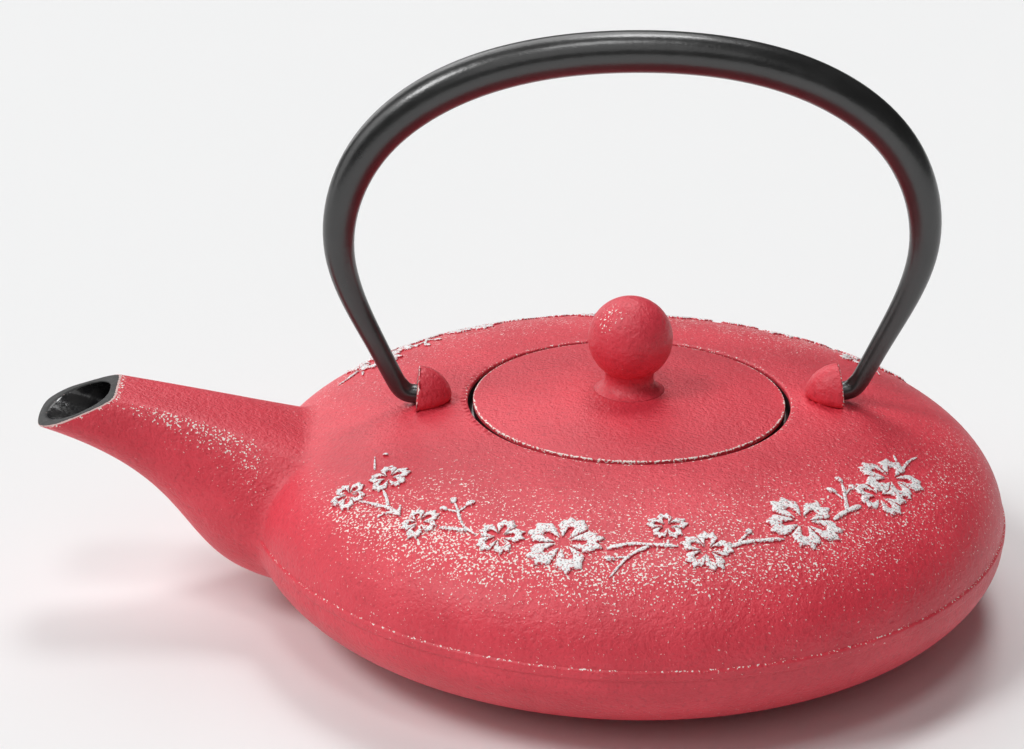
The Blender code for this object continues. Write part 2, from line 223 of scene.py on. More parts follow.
# Twigs: points as bearing in degrees and distance from the axis, then the width at each end.
TWIGS = (
    (((-98.2, 0.0665), (-94.2, 0.0655), (-91.0, 0.0657), (-85.6, 0.0660)), 0.0010, 0.0009),
    (((-87.5, 0.0657), (-87.2, 0.0643)), 0.0007, 0.0005),
    (((-90.8, 0.0660), (-94.2, 0.0687), (-97.4, 0.0737)), 0.0010, 0.0005),
    (((-94.6, 0.0689), (-96.4, 0.0692)), 0.0005, 0.0005),
    (((-76.6, 0.0671), (-73.5, 0.0667), (-70.2, 0.0671), (-66.4, 0.0676)), 0.0010, 0.0009),
    (((-74.9, 0.0666), (-73.2, 0.0653), (-72.4, 0.0645)), 0.0007, 0.0005),
    (((-54.6, 0.0662), (-51.1, 0.0656), (-46.7, 0.0655)), 0.0011, 0.0013),
    (((-50.9, 0.0654), (-48.2, 0.0626), (-45.0, 0.0594), (-44.2, 0.0582)), 0.0011, 0.0005),
    (((-46.6, 0.0614), (-44.3, 0.0607)), 0.0006, 0.0005),
    (((-48.3, 0.0624), (-48.2, 0.0602)), 0.0006, 0.0005),
    (((-27.8, 0.0642), (-23.8, 0.0645), (-20.6, 0.0654)), 0.0009, 0.0004),
    (((-26.2, 0.0622), (-23.9, 0.0610)), 0.0007, 0.0004),
    (((-147.5, 0.0709), (-142.5, 0.0699), (-140.5, 0.0694), (-137.2, 0.0697)), 0.0006, 0.0012),
    (((-145.6, 0.0663), (-142.8, 0.0678), (-140.5, 0.0694)), 0.0006, 0.0009),
    (((-140.7, 0.0724), (-140.2, 0.0709), (-138.8, 0.0699), (-137.2, 0.0697)), 0.0003, 0.0012),
    (((-137.6, 0.0697), (-139.2, 0.0675)), 0.0009, 0.0004),
    (((-128.6, 0.0691), (-126.2, 0.0685), (-123.5, 0.0679)), 0.0008, 0.0010),
    (((-121.4, 0.0681), (-124.4, 0.0671), (-127.0, 0.0649), (-128.1, 0.0635)), 0.0006, 0.0007),
    (((-128.1, 0.0635), (-130.1, 0.0618)), 0.0006, 0.0005),
    (((-127.8, 0.0638), (-127.4, 0.0615)), 0.0006, 0.0005),
    (((-128.0, 0.0639), (-130.2, 0.0642)), 0.0006, 0.0005),
    (((-152.9, 0.0636), (-155.1, 0.0625), (-157.5, 0.0613)), 0.0006, 0.0003),
)
# Buds: bearing, distance from the axis, length, width, and the direction it points from the pot's bearing.
BUDS = (
    (-97.5, 0.0695, 0.0023, 0.0014, 170),
    (-71.9, 0.0641, 0.0018, 0.0015, 40),
    (-43.6, 0.0573, 0.0022, 0.0014, 80),
    (-43.4, 0.0605, 0.0019, 0.0015, 30),
    (-48.3, 0.0590, 0.0025, 0.0014, 110),
    (-130.9, 0.0612, 0.0019, 0.0017, 120),
    (-127.2, 0.0605, 0.0023, 0.0015, 60),
    (-131.0, 0.0643, 0.0019, 0.0013, 180),
    (-156.5, 0.0593, 0.0013, 0.0008, 60),
)
RELIEF_HEIGHT = 0.0005
BACK_GARLAND_LOWER = 0.0048
PETAL_REACH = math.radians(163)
PETAL_SPREAD = math.radians(33)
PETAL_STEPS = 61
HOLLOW_WIDTH = 0.0007
PETAL_CENTRE = 0.50
PETAL_BLEND = 28
TIP_ANGLE = math.radians(21)
TIP_WIDTH = math.radians(9)

# Camera: where it stands, which way it looks in degrees, and its lens on a 36 mm sensor
CAMERA_PLACE = (-0.0478, -0.5441, 0.2738)
CAMERA_BEARING = -2.262
CAMERA_DOWN = 22.029
CAMERA_ROLL = 0.503
CAMERA_LENS = 92.42

# Lights: bearing and height of each in degrees, its strength, and how wide it looks in degrees
LIGHTS = (
    ("key", 202, 52, 1.16, 18),
    ("left_fill", 190, 40, 0.29, 40),
    ("back", 74, 67, 0.72, 16),
    ("back_fill", 100, 48, 0.72, 40),
    ("low_back", 120, 20, 0.53, 40),
    ("low_left", 180, 18, 0.36, 40),
    ("front_fill", 268, 42, 0.32, 40),
    ("overhead", 266, 70, 0.43, 15),
)
SURROUNDINGS = 0.03
FLOOR_HALF_SIZE = 12
FLOOR_BELOW = 0.00002


# ---------------------------------------------------------------- curves and profiles


def blend(first, second, amount):
    return first + (second - first) * amount


def bezier(controls, t):
    """The point of a cubic Bezier curve at t. Controls are points or plain numbers."""
    weights = [math.comb(3, i) * t**i * (1 - t) ** (3 - i) for i in range(4)]
    return sum(np.asarray(control, float) * weight for control, weight in zip(controls, weights))


def superellipse(radius, height, powers, inner_radius, steps):
    """Points from inner_radius out to the full radius, as radius and rise above the widest line."""
    end = math.acos((inner_radius / radius) ** (powers[0] / 2))
    angles = end * (1 - np.arange(steps + 1) / steps)
    out, up = np.cos(angles) ** (2 / powers[0]), np.sin(angles) ** (2 / powers[1])
    return np.stack([radius * out, height * up], 1)


def shoulder(inset, inner_radius, steps):
    points = superellipse(POT_RADIUS - inset, SHOULDER_HEIGHT - inset, SHOULDER_POWERS, inner_radius, steps)
    points[:, 1] += WIDEST_Z
    return points


def belly(inset, depth, inner_radius, steps):
    points = superellipse(POT_RADIUS - inset, depth, BELLY_POWERS, inner_radius, steps)[::-1]
    points[:, 1] = WIDEST_Z - points[:, 1]
    return points


def shoulder_z(radius):
    share = (1 - (radius / POT_RADIUS) ** SHOULDER_POWERS[0]) ** (1 / SHOULDER_POWERS[1])
    return WIDEST_Z + SHOULDER_HEIGHT * share


def rounded(points, size, closed=False, steps=4):
    """The same outline with each corner rounded off by about size."""
    points = [np.array(point, float) for point in points]
    count = len(points)
    made = []
    for i, corner in enumerate(points):
        if not closed and i in (0, count - 1):
            made.append(corner)
            continue
        before, after = points[i - 1] - corner, points[(i + 1) % count] - corner
        reach = min(size, 0.45 * np.linalg.norm(before), 0.45 * np.linalg.norm(after))
        start = corner + before / np.linalg.norm(before) * reach
        end = corner + after / np.linalg.norm(after) * reach
        for t in np.arange(steps + 1) / steps:
            made.append((1 - t) ** 2 * start + 2 * t * (1 - t) * corner + t * t * end)
    return np.array(made)


def divided(points, spacing, closed=False):
    """The same outline with more points on its long straight runs."""
    points = np.asarray(points, float)
    ends = np.roll(points, -1, axis=0) if closed else points[1:]
    made = []
    for start, end in zip(points, ends):
        pieces = max(1, math.ceil(np.linalg.norm(end - start) / spacing))
        made += [start + (end - start) * k / pieces for k in range(pieces)]
    if not closed:
        made.append(points[-1])
    return np.array(made)


def smooth(a, b, c, d, per_side):
    """per_side steps from each point of b to its neighbour in c, on a smooth curve from a to d."""
    t = np.arange(per_side)[:, None] / per_side
    a, b, c, d = (points[:, None] for points in (a, b, c, d))
    bent = (2 * a - 5 * b + 4 * c - d) * t**2 + (3 * b - a - 3 * c + d) * t**3
    return (b + 0.5 * ((c - a) * t + bent)).reshape(-1, b.shape[-1])


def smooth_loop(points, per_side):
    """A closed smooth curve through points, with per_side steps between neighbours."""
    return smooth(*(np.roll(points, shift, axis=0) for shift in (1, 0, -1, -2)), per_side)


def smooth_path(points, per_side):
    """An open smooth curve through points, with per_side steps between neighbours."""
    points = np.asarray(points, float)
    padded = np.vstack([2 * points[0] - points[1], points, 2 * points[-1] - points[-2]])
    return np.vstack([smooth(padded[:-3], padded[1:-2], padded[2:-1], padded[3:], per_side), points[-1]])


def hump(value, centre, width, power=2):
    """1 where value is at centre, falling smoothly towards 0 past width on each side."""
    return np.exp(-(((value - centre) / width) ** power))


# ---------------------------------------------------------------- meshes


@contextmanager
def opened(mesh):
    """The mesh open for editing, written back afterwards."""
    shape = bmesh.new()
    shape.from_mesh(mesh)
    yield shape
    shape.to_mesh(mesh)
    shape.free()


def mesh_of(name, points, faces):
    """A smooth-shaded mesh of closed shapes, turned so that their faces point outwards."""
    mesh = bpy.data.meshes.new(name)
    mesh.from_pydata([tuple(point) for point in points], [], faces)
    with opened(mesh) as shape:
        bmesh.ops.recalc_face_normals(shape, faces=shape.faces)
    mesh.shade_smooth()
    return mesh


def ring_faces(rows, count, start=0, closed=False):
    """Faces between neighbouring rings of count points, numbered from start."""
    faces = []
    for row in range(rows if closed else rows - 1):
        here, after = start + row * count, start + (row + 1) % rows * count
        for i in range(count):
            j = (i + 1) % count
            faces.append((here + i, here + j, after + j, after + i))
    return faces


def turned(name, profile, angles, closed=False):
    """A profile of radius and height turned about Z. An open profile starts and ends on the axis."""
    count = len(angles)
    points, rings = [], []
    for radius, z in profile:
        on_axis = radius < ON_AXIS
        rings.append([len(points)] * count if on_axis else range(len(points), len(points) + count))
        around = angles[:1] if on_axis else angles
        points += [(radius * math.cos(angle), radius * math.sin(angle), z) for angle in around]
    faces = []
    following = rings[1:] + (rings[:1] if closed else [])
    for ring, after in zip(rings, following):
        for i in range(count):
            j = (i + 1) % count
            corners = (ring[i], ring[j], after[j], after[i])
            faces.append(tuple(dict.fromkeys(corners)))
    return mesh_of(name, points, faces)


def even_angles(count):
    return [math.tau * i / count for i in range(count)]


def lofted(name, loops):
    """A closed mesh through loops with the same number of points, with a fan at each end."""
    count = len(loops[0])
    points = [point for loop in loops for point in loop]
    faces = ring_faces(len(loops), count)
    for start, loop in ((0, loops[0]), (len(points) - count, loops[-1])):
        faces += [(start + i, start + (i + 1) % count, len(points)) for i in range(count)]
        points.append(np.mean(loop, axis=0))
    return mesh_of(name, points, faces)


class Gathered:
    """Closed shapes gathered into one mesh."""

    def __init__(self):
        self.points, self.faces = [], []

    def add(self, loops, closed=False):
        """A skin through loops of points, with a flat face at each end unless it closes on itself."""
        start, count = len(self.points), len(loops[0])
        last = start + (len(loops) - 1) * count
        self.faces += ring_faces(len(loops), count, start, closed)
        if not closed:
            self.faces += [tuple(range(start, start + count)), tuple(range(last, last + count))]
        self.points += [point for loop in loops for point in loop]

    def mesh(self, name):
        return mesh_of(name, self.points, self.faces)


def object_of(name, data, *materials):
    made = bpy.data.objects.new(name, data)
    bpy.context.scene.collection.objects.link(made)
    for material in materials:
        data.materials.append(material)
    return made


def hand_over(piece, body, node=None):
    """Puts a piece on the body that it rides on, and hides the CAD solid that it stands for."""
    if node:
        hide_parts(node)
    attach(piece, body)


def fixed_mesh(obj):
    """The object's mesh with its modifiers applied."""
    bpy.context.view_layer.update()
    evaluated = obj.evaluated_get(bpy.context.evaluated_depsgraph_get())
    mesh = bpy.data.meshes.new_from_object(evaluated)
    obj.modifiers.clear()
    obj.data = mesh
    return mesh


def change(obj, tool_mesh, operation):
    """Joins a solid to obj, or cuts it away."""
    tool = object_of("tool", tool_mesh)
    modifier = obj.modifiers.new("change", "BOOLEAN")
    modifier.operation = operation
    modifier.solver = "MANIFOLD"
    modifier.object = tool
    fixed_mesh(obj)
    bpy.data.objects.remove(tool)


def coordinates(mesh):
    points = np.empty(len(mesh.vertices) * 3, np.float32)
    mesh.vertices.foreach_get("co", points)
    return points.reshape(-1, 3).astype(float)


def set_attribute(mesh, name, values):
    attribute = mesh.attributes.new(name, "FLOAT", "POINT")
    attribute.data.foreach_set("value", np.asarray(values, np.float32))


# ---------------------------------------------------------------- materials


class Shader:
    """A node material while it is put together."""

    def __init__(self, name):
        self.material = bpy.data.materials.new(name)
        self.material.use_nodes = True
        self.tree = self.material.node_tree
        self.surface = self.tree.nodes["Principled BSDF"]
        self.place = self.node("ShaderNodeTexCoord").outputs["Object"]

    def node(self, kind, **settings):
        made = self.tree.nodes.new(kind)
        for name, value in settings.items():
            setattr(made, name, value)
        return made

    def feed(self, node, **inputs):
        """Sets the node's inputs, by name with _ for a space or by number, to sockets or to values."""
        for name, value in inputs.items():
            socket = node.inputs[int(name[1:])] if name[1:].isdigit() else node.inputs[name.replace("_", " ")]
            if isinstance(value, bpy.types.NodeSocket):
                self.tree.links.new(value, socket)
            else:
                socket.default_value = (*value, 1) if socket.type == "RGBA" else value
        return node

    def noise(self, scale, detail=2.0, roughness=0.5):
        made = self.node("ShaderNodeTexNoise")
        self.feed(made, Vector=self.place, Scale=scale, Detail=detail, Roughness=roughness)
        return made.outputs["Fac"]

    def math(self, operation, first, second, clamp=False):
        made = self.node("ShaderNodeMath", operation=operation, use_clamp=clamp)
        return self.feed(made, i0=first, i1=second).outputs[0]

    def times(self, first, second):
        return self.math("MULTIPLY", first, second)

    def plus(self, first, second):
        return self.math("ADD", first, second)

    def step(self, value, start, end):
        """0 below start and 1 above end, with a smooth rise between them."""
        made = self.node("ShaderNodeMapRange", interpolation_type="SMOOTHSTEP")
        return self.feed(made, Value=value, From_Min=start, From_Max=end).outputs["Result"]

    def span(self, value, low, high):
        """A 0 to 1 value stretched to run from low to high."""
        made = self.node("ShaderNodeMapRange")
        return self.feed(made, Value=value, To_Min=low, To_Max=high).outputs["Result"]

    def mix(self, amount, first, second):
        made = self.node("ShaderNodeMix", data_type="RGBA")
        return self.feed(made, i0=amount, i6=first, i7=second).outputs[2]

    def rub_and_highlight(self):
        """The attribute that says how strongly a place was brushed or worn, and on the knob's lit side and
        the spout's near ridge how strongly pale flecks paint a highlight.
        """
        return self.node("ShaderNodeAttribute", attribute_name="rub_and_highlight").outputs["Fac"]

    def bump(self, height, distance, strength, under=None):
        made = self.node("ShaderNodeBump")
        self.feed(made, Height=height, Distance=distance, Strength=strength)
        if under is not None:
            self.feed(made, Normal=under)
        return made.outputs["Normal"]

    def finish(self, **inputs):
        self.feed(self.surface, **inputs)
        return self.material


def red_enamel_material():
    """Red enamel over sand-cast iron, with pale flecks on the grain's peaks where it was brushed, and where
    they paint a highlight on the knob and the spout.
    """
    s = Shader("red_enamel")
    shade, mottle, patches = s.noise(60, 3), s.noise(420, 3, 0.6), s.noise(170, 2)
    grain, fine = s.noise(1050, 2, 0.55), s.noise(2050, 1.2, 0.5)
    base = s.mix(s.step(shade, 0.3, 0.7), (0.67, 0.038, 0.062), (0.77, 0.050, 0.078))
    base = s.mix(s.times(s.step(mottle, 0.5, 0.8), 0.35), base, (0.82, 0.080, 0.112))
    base = s.mix(s.times(s.step(grain, 0.48, 0.25), 0.35), base, (0.42, 0.018, 0.034))
    level = s.times(s.rub_and_highlight(), s.span(patches, 0.70, 1.30))
    limit = s.math("SUBTRACT", 0.75, s.times(level, 0.21))
    peaks = s.plus(s.times(fine, 0.78), s.times(grain, 0.22))
    fleck = s.step(s.math("SUBTRACT", peaks, limit), 0.0, 0.035)
    fleck = s.math("MULTIPLY", fleck, s.span(level, 0.35, 1.20), clamp=True)
    base = s.mix(fleck, base, (0.93, 0.84, 0.78))
    swell = s.bump(mottle, 0.0005, 0.50)
    grainy = s.bump(grain, 0.0006, 0.50, swell)
    sharp = s.bump(fine, 0.00025, 0.50, grainy)
    rough = s.span(s.noise(300, 2), 0.40, 0.56)
    return s.finish(Base_Color=base, Roughness=rough, Normal=sharp, Coat_Weight=0.12, Coat_Roughness=0.35)


def black_enamel_material():
    """Glossy black enamel inside the pot and the spout."""
    s = Shader("black_enamel")
    waves, grain = s.noise(260, 2), s.noise(1400, 2)
    base = s.mix(s.step(waves, 0.35, 0.65), (0.012, 0.012, 0.013), (0.026, 0.025, 0.025))
    normal = s.bump(grain, 0.0001, 0.35, s.bump(waves, 0.0006, 0.3))
    return s.finish(Base_Color=base, Roughness=s.span(grain, 0.12, 0.26), Normal=normal, Coat_Weight=0.5)


def dull_black_material():
    """Dull dark paint where the lid sits in the mouth."""
    s = Shader("dull_black")
    waves, grain = s.noise(300, 3), s.noise(1200, 2)
    base = s.mix(waves, (0.020, 0.008, 0.009), (0.040, 0.014, 0.015))
    normal = s.bump(grain, 0.0002, 0.4)
    rough = s.span(grain, 0.6, 0.8)
    return s.finish(Base_Color=base, Roughness=rough, Normal=normal, Specular_IOR_Level=0.25)


def lip_material():
    """The spout's lip: black enamel worn to grey, with bare metal along its edge."""
    s = Shader("worn_lip")
    wear, fine, edge = s.noise(520, 3, 0.6), s.noise(1800, 2), s.rub_and_highlight()
    base = s.mix(s.step(wear, 0.35, 0.7), (0.014, 0.013, 0.012), (0.040, 0.037, 0.033))
    base = s.mix(s.step(edge, 0.2, 0.9), (0.012, 0.012, 0.012), base)
    bare = s.step(s.plus(fine, s.times(edge, 0.45)), 0.72, 0.85)
    base = s.mix(bare, base, (0.62, 0.42, 0.40))
    normal = s.bump(fine, 0.0001, 0.4, s.bump(wear, 0.0003, 0.35))
    rough = s.span(wear, 0.40, 0.60)
    return s.finish(Base_Color=base, Roughness=rough, Normal=normal, Specular_IOR_Level=0.30)


def silvered_material():
    """Pale silver brushed over the relief, speckled where the red shows through."""
    s = Shader("silvered_relief")
    specks, dark, shade = s.noise(1900, 2, 0.6), s.noise(2400, 1.5), s.noise(500, 2)
    base = s.mix(shade, (0.82, 0.82, 0.82), (0.93, 0.92, 0.92))
    base = s.mix(s.times(s.step(dark, 0.56, 0.64), 0.8), base, (0.22, 0.20, 0.20))
    bare = s.step(s.plus(specks, s.span(s.rub_and_highlight(), 0.22, 0.0)), 0.59, 0.65)
    base = s.mix(bare, base, (0.62, 0.05, 0.078))
    normal = s.bump(specks, 0.0003, 0.5, s.bump(shade, 0.0004, 0.4))
    return s.finish(Base_Color=base, Roughness=s.span(shade, 0.40, 0.60), Normal=normal, Metallic=0.10)


def black_handle_material():
    """Satin black paint on the steel handle, with a little dust."""
    s = Shader("satin_black")
    waves, grain, dust = s.noise(120, 3), s.noise(1500, 2), s.noise(2600, 2)
    base = s.mix(s.step(waves, 0.35, 0.7), (0.012, 0.012, 0.012), (0.020, 0.020, 0.020))
    base = s.mix(s.times(s.step(dust, 0.72, 0.80), 0.5), base, (0.09, 0.085, 0.08))
    normal = s.bump(grain, 0.00012, 0.3, s.bump(waves, 0.0006, 0.2))
    rough = s.span(s.noise(240, 2), 0.25, 0.34)
    gloss = {"Specular_IOR_Level": 0.85, "Coat_Weight": 0.15}
    return s.finish(Base_Color=base, Roughness=rough, Normal=normal, **gloss)


def steel_material(name, tone, rough_low, rough_high):
    """Stainless steel with faint scratches."""
    s = Shader(name)
    waves, scratches = s.noise(200, 3), s.noise(2400, 3, 0.7)
    base = s.mix(waves, (tone * 0.86, tone * 0.86, tone * 0.85), (tone, tone, tone * 0.98))
    normal = s.bump(scratches, 0.00006, 0.4)
    rough = s.span(s.times(s.plus(waves, scratches), 0.5), rough_low, rough_high)
    return s.finish(Base_Color=base, Roughness=rough, Normal=normal, Metallic=1.0)


def floor_material():
    """Pale matt paper."""
    s = Shader("pale_floor")
    weave, shade = s.noise(900, 3), s.noise(8, 3)
    base = s.mix(shade, (0.840, 0.844, 0.846), (0.852, 0.854, 0.855))
    normal = s.bump(weave, 0.0001, 0.1)
    return s.finish(Base_Color=base, Roughness=0.85, Normal=normal, Specular_IOR_Level=0.2)


# ---------------------------------------------------------------- pot


def pot_angles():
    """Turning steps for the pot, finer round the spout's root."""
    fine, coarse = math.radians(0.7), math.radians(2.0)
    reach = math.radians(34)
    angles = list(np.arange(math.pi - reach, math.pi + reach, fine))
    left = math.tau - 2 * reach
    count = int(left / coarse)
    return angles + [math.pi + reach + left * i / count for i in range(count)]


def pot_outside():
    """The outer profile from the axis above the mouth to the axis under the base."""
    upper = shoulder(0, MOUTH_RADIUS - MM, 78)
    upper = upper[upper[:, 1] > SEAM_HIGH_Z + 0.0002]
    lower = belly(0, BELLY_DEPTH, FOOT_RADIUS, 60)
    seam = [
        upper[-1],
        (POT_RADIUS - 0.0002, SEAM_HIGH_Z + 0.0001),
        (POT_RADIUS + SEAM_PROUD, SEAM_HIGH_Z - SEAM_PROUD),
        (POT_RADIUS + SEAM_PROUD, SEAM_LOW_Z + SEAM_PROUD),
        (POT_RADIUS, SEAM_LOW_Z),
        lower[1],
    ]
    foot_inside = FOOT_RADIUS - FOOT_WIDTH
    foot = [
        lower[-1],
        (foot_inside, 0),
        (foot_inside - FOOT_RECESS, FOOT_RECESS),
        (GATE_PAD_RADIUS + FOOT_RECESS, FOOT_RECESS),
        (GATE_PAD_RADIUS, 0),
        (0, 0),
    ]
    start = divided([(0, upper[0][1]), upper[0]], 0.006)[:-1]
    foot = divided(rounded(foot, 0.0005), 0.0025)
    return np.vstack([start, upper[:-1], rounded(seam, 0.00035), lower[2:-1], foot])


def hollow_profile():
    """The hollow, from above the mouth, past its rounded edge and the ledge, round the chamber."""
    above = MOUTH_TOP_Z + 4 * MM
    edge_radius = MOUTH_RADIUS + MOUTH_EDGE_ROUND
    edge_z = shoulder_z(edge_radius)
    mouth = [(0, above), (edge_radius, above)]
    for angle in np.linspace(0, math.pi / 2, 7):
        fallen = MOUTH_EDGE_ROUND * (1 - math.cos(angle))
        mouth.append((edge_radius - MOUTH_EDGE_ROUND * math.sin(angle), edge_z - fallen))
    ledge_under = LEDGE_Z - LEDGE_THICKNESS
    ledge = [
        (MOUTH_RADIUS, edge_z - 2 * MOUTH_EDGE_ROUND),
        (MOUTH_RADIUS, LEDGE_Z),
        (LEDGE_INNER_RADIUS, LEDGE_Z),
        (LEDGE_INNER_RADIUS, ledge_under),
        (LEDGE_ROOT_RADIUS, ledge_under),
    ]
    chamber = shoulder(WALL, LEDGE_ROOT_RADIUS + LEDGE_THICKNESS, 26)[:-1]
    chamber = np.vstack([chamber, belly(WALL, WIDEST_Z - FLOOR_Z, FOOT_RADIUS, 22)])
    floor = divided([chamber[-1], (0, FLOOR_Z)], 0.005)[1:]
    return np.vstack([mouth, divided(rounded(ledge, 0.0005), 0.0012), chamber, floor])


def spout_section(t, inset, oval=0.0):
    """A smooth closed loop of the spout at t, 0 at its mouth and 1 at its root, moved in by inset."""
    low, high = bezier(SPOUT_UNDERSIDE, t), bezier(SPOUT_TOP, t)
    upward = (high - low) / np.linalg.norm(high - low) * inset
    low, high = low + upward, high - upward
    half_width = float(bezier(SPOUT_HALF_WIDTHS, t)) - inset
    outline = blend(np.array(SPOUT_MOUTH_OUTLINE), np.array(SPOUT_ROOT_OUTLINE), t)
    ellipse = 2 * np.sqrt(np.clip(outline[:, 1] * (1 - outline[:, 1]), 0, 1))
    outline[:, 0] = blend(outline[:, 0], ellipse, oval)
    mirrored = outline[-2:0:-1] * (-1, 1)
    outline = smooth_loop(np.vstack([outline, mirrored]), 6)
    place = low + (high - low) * outline[:, 1:2]
    return np.stack([place[:, 0], outline[:, 0] * half_width, place[:, 1]], 1)


def lip_rounding(distance):
    """How far a rounded edge has fallen back at a distance from the spout's end."""
    if distance >= SPOUT_LIP_ROUND:
        return 0.0
    return SPOUT_LIP_ROUND - math.sqrt(SPOUT_LIP_ROUND**2 - (SPOUT_LIP_ROUND - distance) ** 2)


def spout_stations():
    """Positions along the spout and their distances from its end, close together at its lip."""
    lip_end = SPOUT_LIP_ROUND / SPOUT_RUN
    lip = [lip_end * share for share in (0, 0.04, 0.13, 0.3, 0.55, 0.8)]
    body = [lip_end + (1 - lip_end) * i / SPOUT_SECTIONS for i in range(SPOUT_SECTIONS + 1)]
    return [(t, t * SPOUT_RUN) for t in lip + body]


def spout_meshes():
    """The spout's outside and the channel through it, which runs on past the lip to cut it open."""
    stations = [(t, lip_rounding(distance)) for t, distance in spout_stations()]
    channel = [spout_section(t, SPOUT_WALL - SPOUT_LIP_ROUND, CHANNEL_OVAL) for t in (-0.12, -0.02)]
    channel += [spout_section(t, SPOUT_WALL - fallen, CHANNEL_OVAL) for t, fallen in stations]
    outside = [spout_section(t, fallen) for t, fallen in stations]
    return lofted("spout_outside", outside), lofted("spout_channel", channel)


def lug_mesh(side):
    """A half dome with a flat, slightly leaning outer face and a softened edge."""
    mesh = bpy.data.meshes.new("lug")
    place = Matrix.Translation((side * LUG_FACE, 0, LUG_CENTRE_Z)) @ Matrix.Diagonal((*LUG_HALF_SIZE, 1))
    with opened(mesh) as shape:
        bmesh.ops.create_uvsphere(shape, u_segments=64, v_segments=40, radius=1, matrix=place)
        cut = bmesh.ops.bisect_plane(
            shape,
            geom=shape.verts[:] + shape.edges[:] + shape.faces[:],
            plane_co=(side * LUG_FACE, 0, PIVOT_Z),
            plane_no=(side * math.cos(LUG_LEAN), 0, math.sin(LUG_LEAN)),
            clear_outer=True,
        )["geom_cut"]
        rim = [item for item in cut if isinstance(item, bmesh.types.BMEdge)]
        bmesh.ops.holes_fill(shape, edges=rim)
        bmesh.ops.bevel(shape, geom=rim, offset=LUG_EDGE_ROUND, segments=3, profile=0.5, affect="EDGES")
        bmesh.ops.recalc_face_normals(shape, faces=shape.faces)
    mesh.shade_smooth()
    return mesh


def pivot_hole_mesh(side):
    """A rod that cuts the blind hole for one end of the handle."""
    start, end = side * PIVOT_HOLE_END, side * (LUG_FACE + 4 * MM)
    rings = []
    for x in (start, end):
        around = [(PIVOT_HOLE_RADIUS * math.cos(a), PIVOT_HOLE_RADIUS * math.sin(a)) for a in even_angles(40)]
        rings.append([(x, y, PIVOT_Z + z) for y, z in around])
    return lofted("pivot_hole", rings)


def tree_of(*meshes):
    """A search tree over the faces of some meshes together."""
    points, faces = [], []
    for mesh in meshes:
        faces += [[len(points) + i for i in polygon.vertices] for polygon in mesh.polygons]
        points += [vertex.co.copy() for vertex in mesh.vertices]
    return BVHTree.FromPolygons(points, faces)


def distances(tree, points):
    return np.array([tree.find_nearest(Vector(point))[3] for point in points])


def signed_distance(tree, point):
    """Distance to a closed surface, positive outside, and the direction away from it."""
    near, normal, _, distance = tree.find_nearest(point)
    away = point - near
    if distance < TOUCHING:
        return 0.0, normal
    outside = away.dot(normal) >= 0
    return (distance if outside else -distance), (away if outside else -away).normalized()


def soften_join(mesh, first, second, reach, rounds=3):
    """Fills the crease where two solids meet with a smooth fillet of about reach."""
    for _ in range(rounds):
        for vertex in mesh.vertices:
            if second.find_nearest(vertex.co, reach * 1.2)[3] is None:
                continue
            d1, n1 = signed_distance(first, vertex.co)
            d2, n2 = signed_distance(second, vertex.co)
            near = max(reach - abs(d1 - d2), 0) / reach
            if near <= 0 or min(d1, d2) < -INSIDE_WALL:
                continue
            level = min(d1, d2) - near * near * reach / 4
            share = near / 2 if d1 < d2 else 1 - near / 2
            slope = n1 * (1 - share) + n2 * share
            if slope.length_squared > FLATTEST_SLOPE:
                vertex.co -= slope * (level / slope.length_squared)


def brushed(points):
    """How strongly each point of the pot's body was brushed with pale paint, 0 to 1."""
    x, y, z = points.T
    radius = np.hypot(x, y)
    bearing = np.degrees(np.arctan2(y, x)) % 180 - 180  # the back is brushed like the front
    upper = z > WIDEST_Z
    front, left = hump(bearing, -100, 92, 4), hump(bearing, -140, 22)
    right, from_left = np.clip((bearing + 100) / 60, 0, 1), np.clip((bearing + 158) / 20, 0, 1)
    belt = hump(radius, BELT_RADIUS, 0.0064) * upper
    rub_and_highlight = 0.22 + 0.42 * belt * (0.30 + 0.70 * front) * (1 - 0.42 * right) + 0.16 * belt * left
    rub_and_highlight += 0.50 * hump(radius, 0.0610, 0.0180) * upper * front * from_left
    rub_and_highlight -= 0.20 * hump(bearing, -180, 24, 4)
    rub_and_highlight += 0.22 * hump(bearing, -8, 26) * np.clip((radius - 0.066) / 0.008, 0, 1) * upper * (x > 0)
    rub_and_highlight *= np.where(z > WIDEST_Z + 2 * MM, 1.0, 0.35)
    rub_and_highlight += 0.35 * hump(z, 0.010, 0.006) * hump(bearing, -75, 35) * (z < SEAM_LOW_Z)
    rub_and_highlight += 0.60 * hump(z, SEAM_HIGH_Z, 0.0002) * (radius > POT_RADIUS - MM)
    rub_and_highlight += 0.50 * hump(radius, MOUTH_RADIUS + 0.0004, 0.0006) * (z > LEDGE_Z)
    return rub_and_highlight


def spout_rub_and_highlight(points, normals):
    """Pale flecks along the ridge on the spout's near side, where its highlight runs, are a painted
    highlight, strongest in the middle of its length; the rest of the spout is brushed faintly.
    """
    along = np.clip((-points[:, 0] - 0.082) / 0.03, 0, 1)
    # painted highlight: pale flecks only on the near side, along the line where the ridge's highlight runs
    ridge_highlight = hump(normals[:, 2], 0.72, blend(0.42, 0.30, along))
    ridge_highlight *= (np.abs(normals[:, 1]) > 0.25) * (points[:, 1] < 0)
    return 0.10 + 0.85 * ridge_highlight * hump(-points[:, 0], 0.097, 0.019, 4)


def behind_lip(points):
    """How far points lie behind the plane of the spout's mouth."""
    low, high = np.array(SPOUT_UNDERSIDE[0]), np.array(SPOUT_TOP[0])
    run, rise = (high - low) / np.linalg.norm(high - low)
    return (points[:, 0] - low[0]) * rise - (points[:, 2] - low[1]) * run


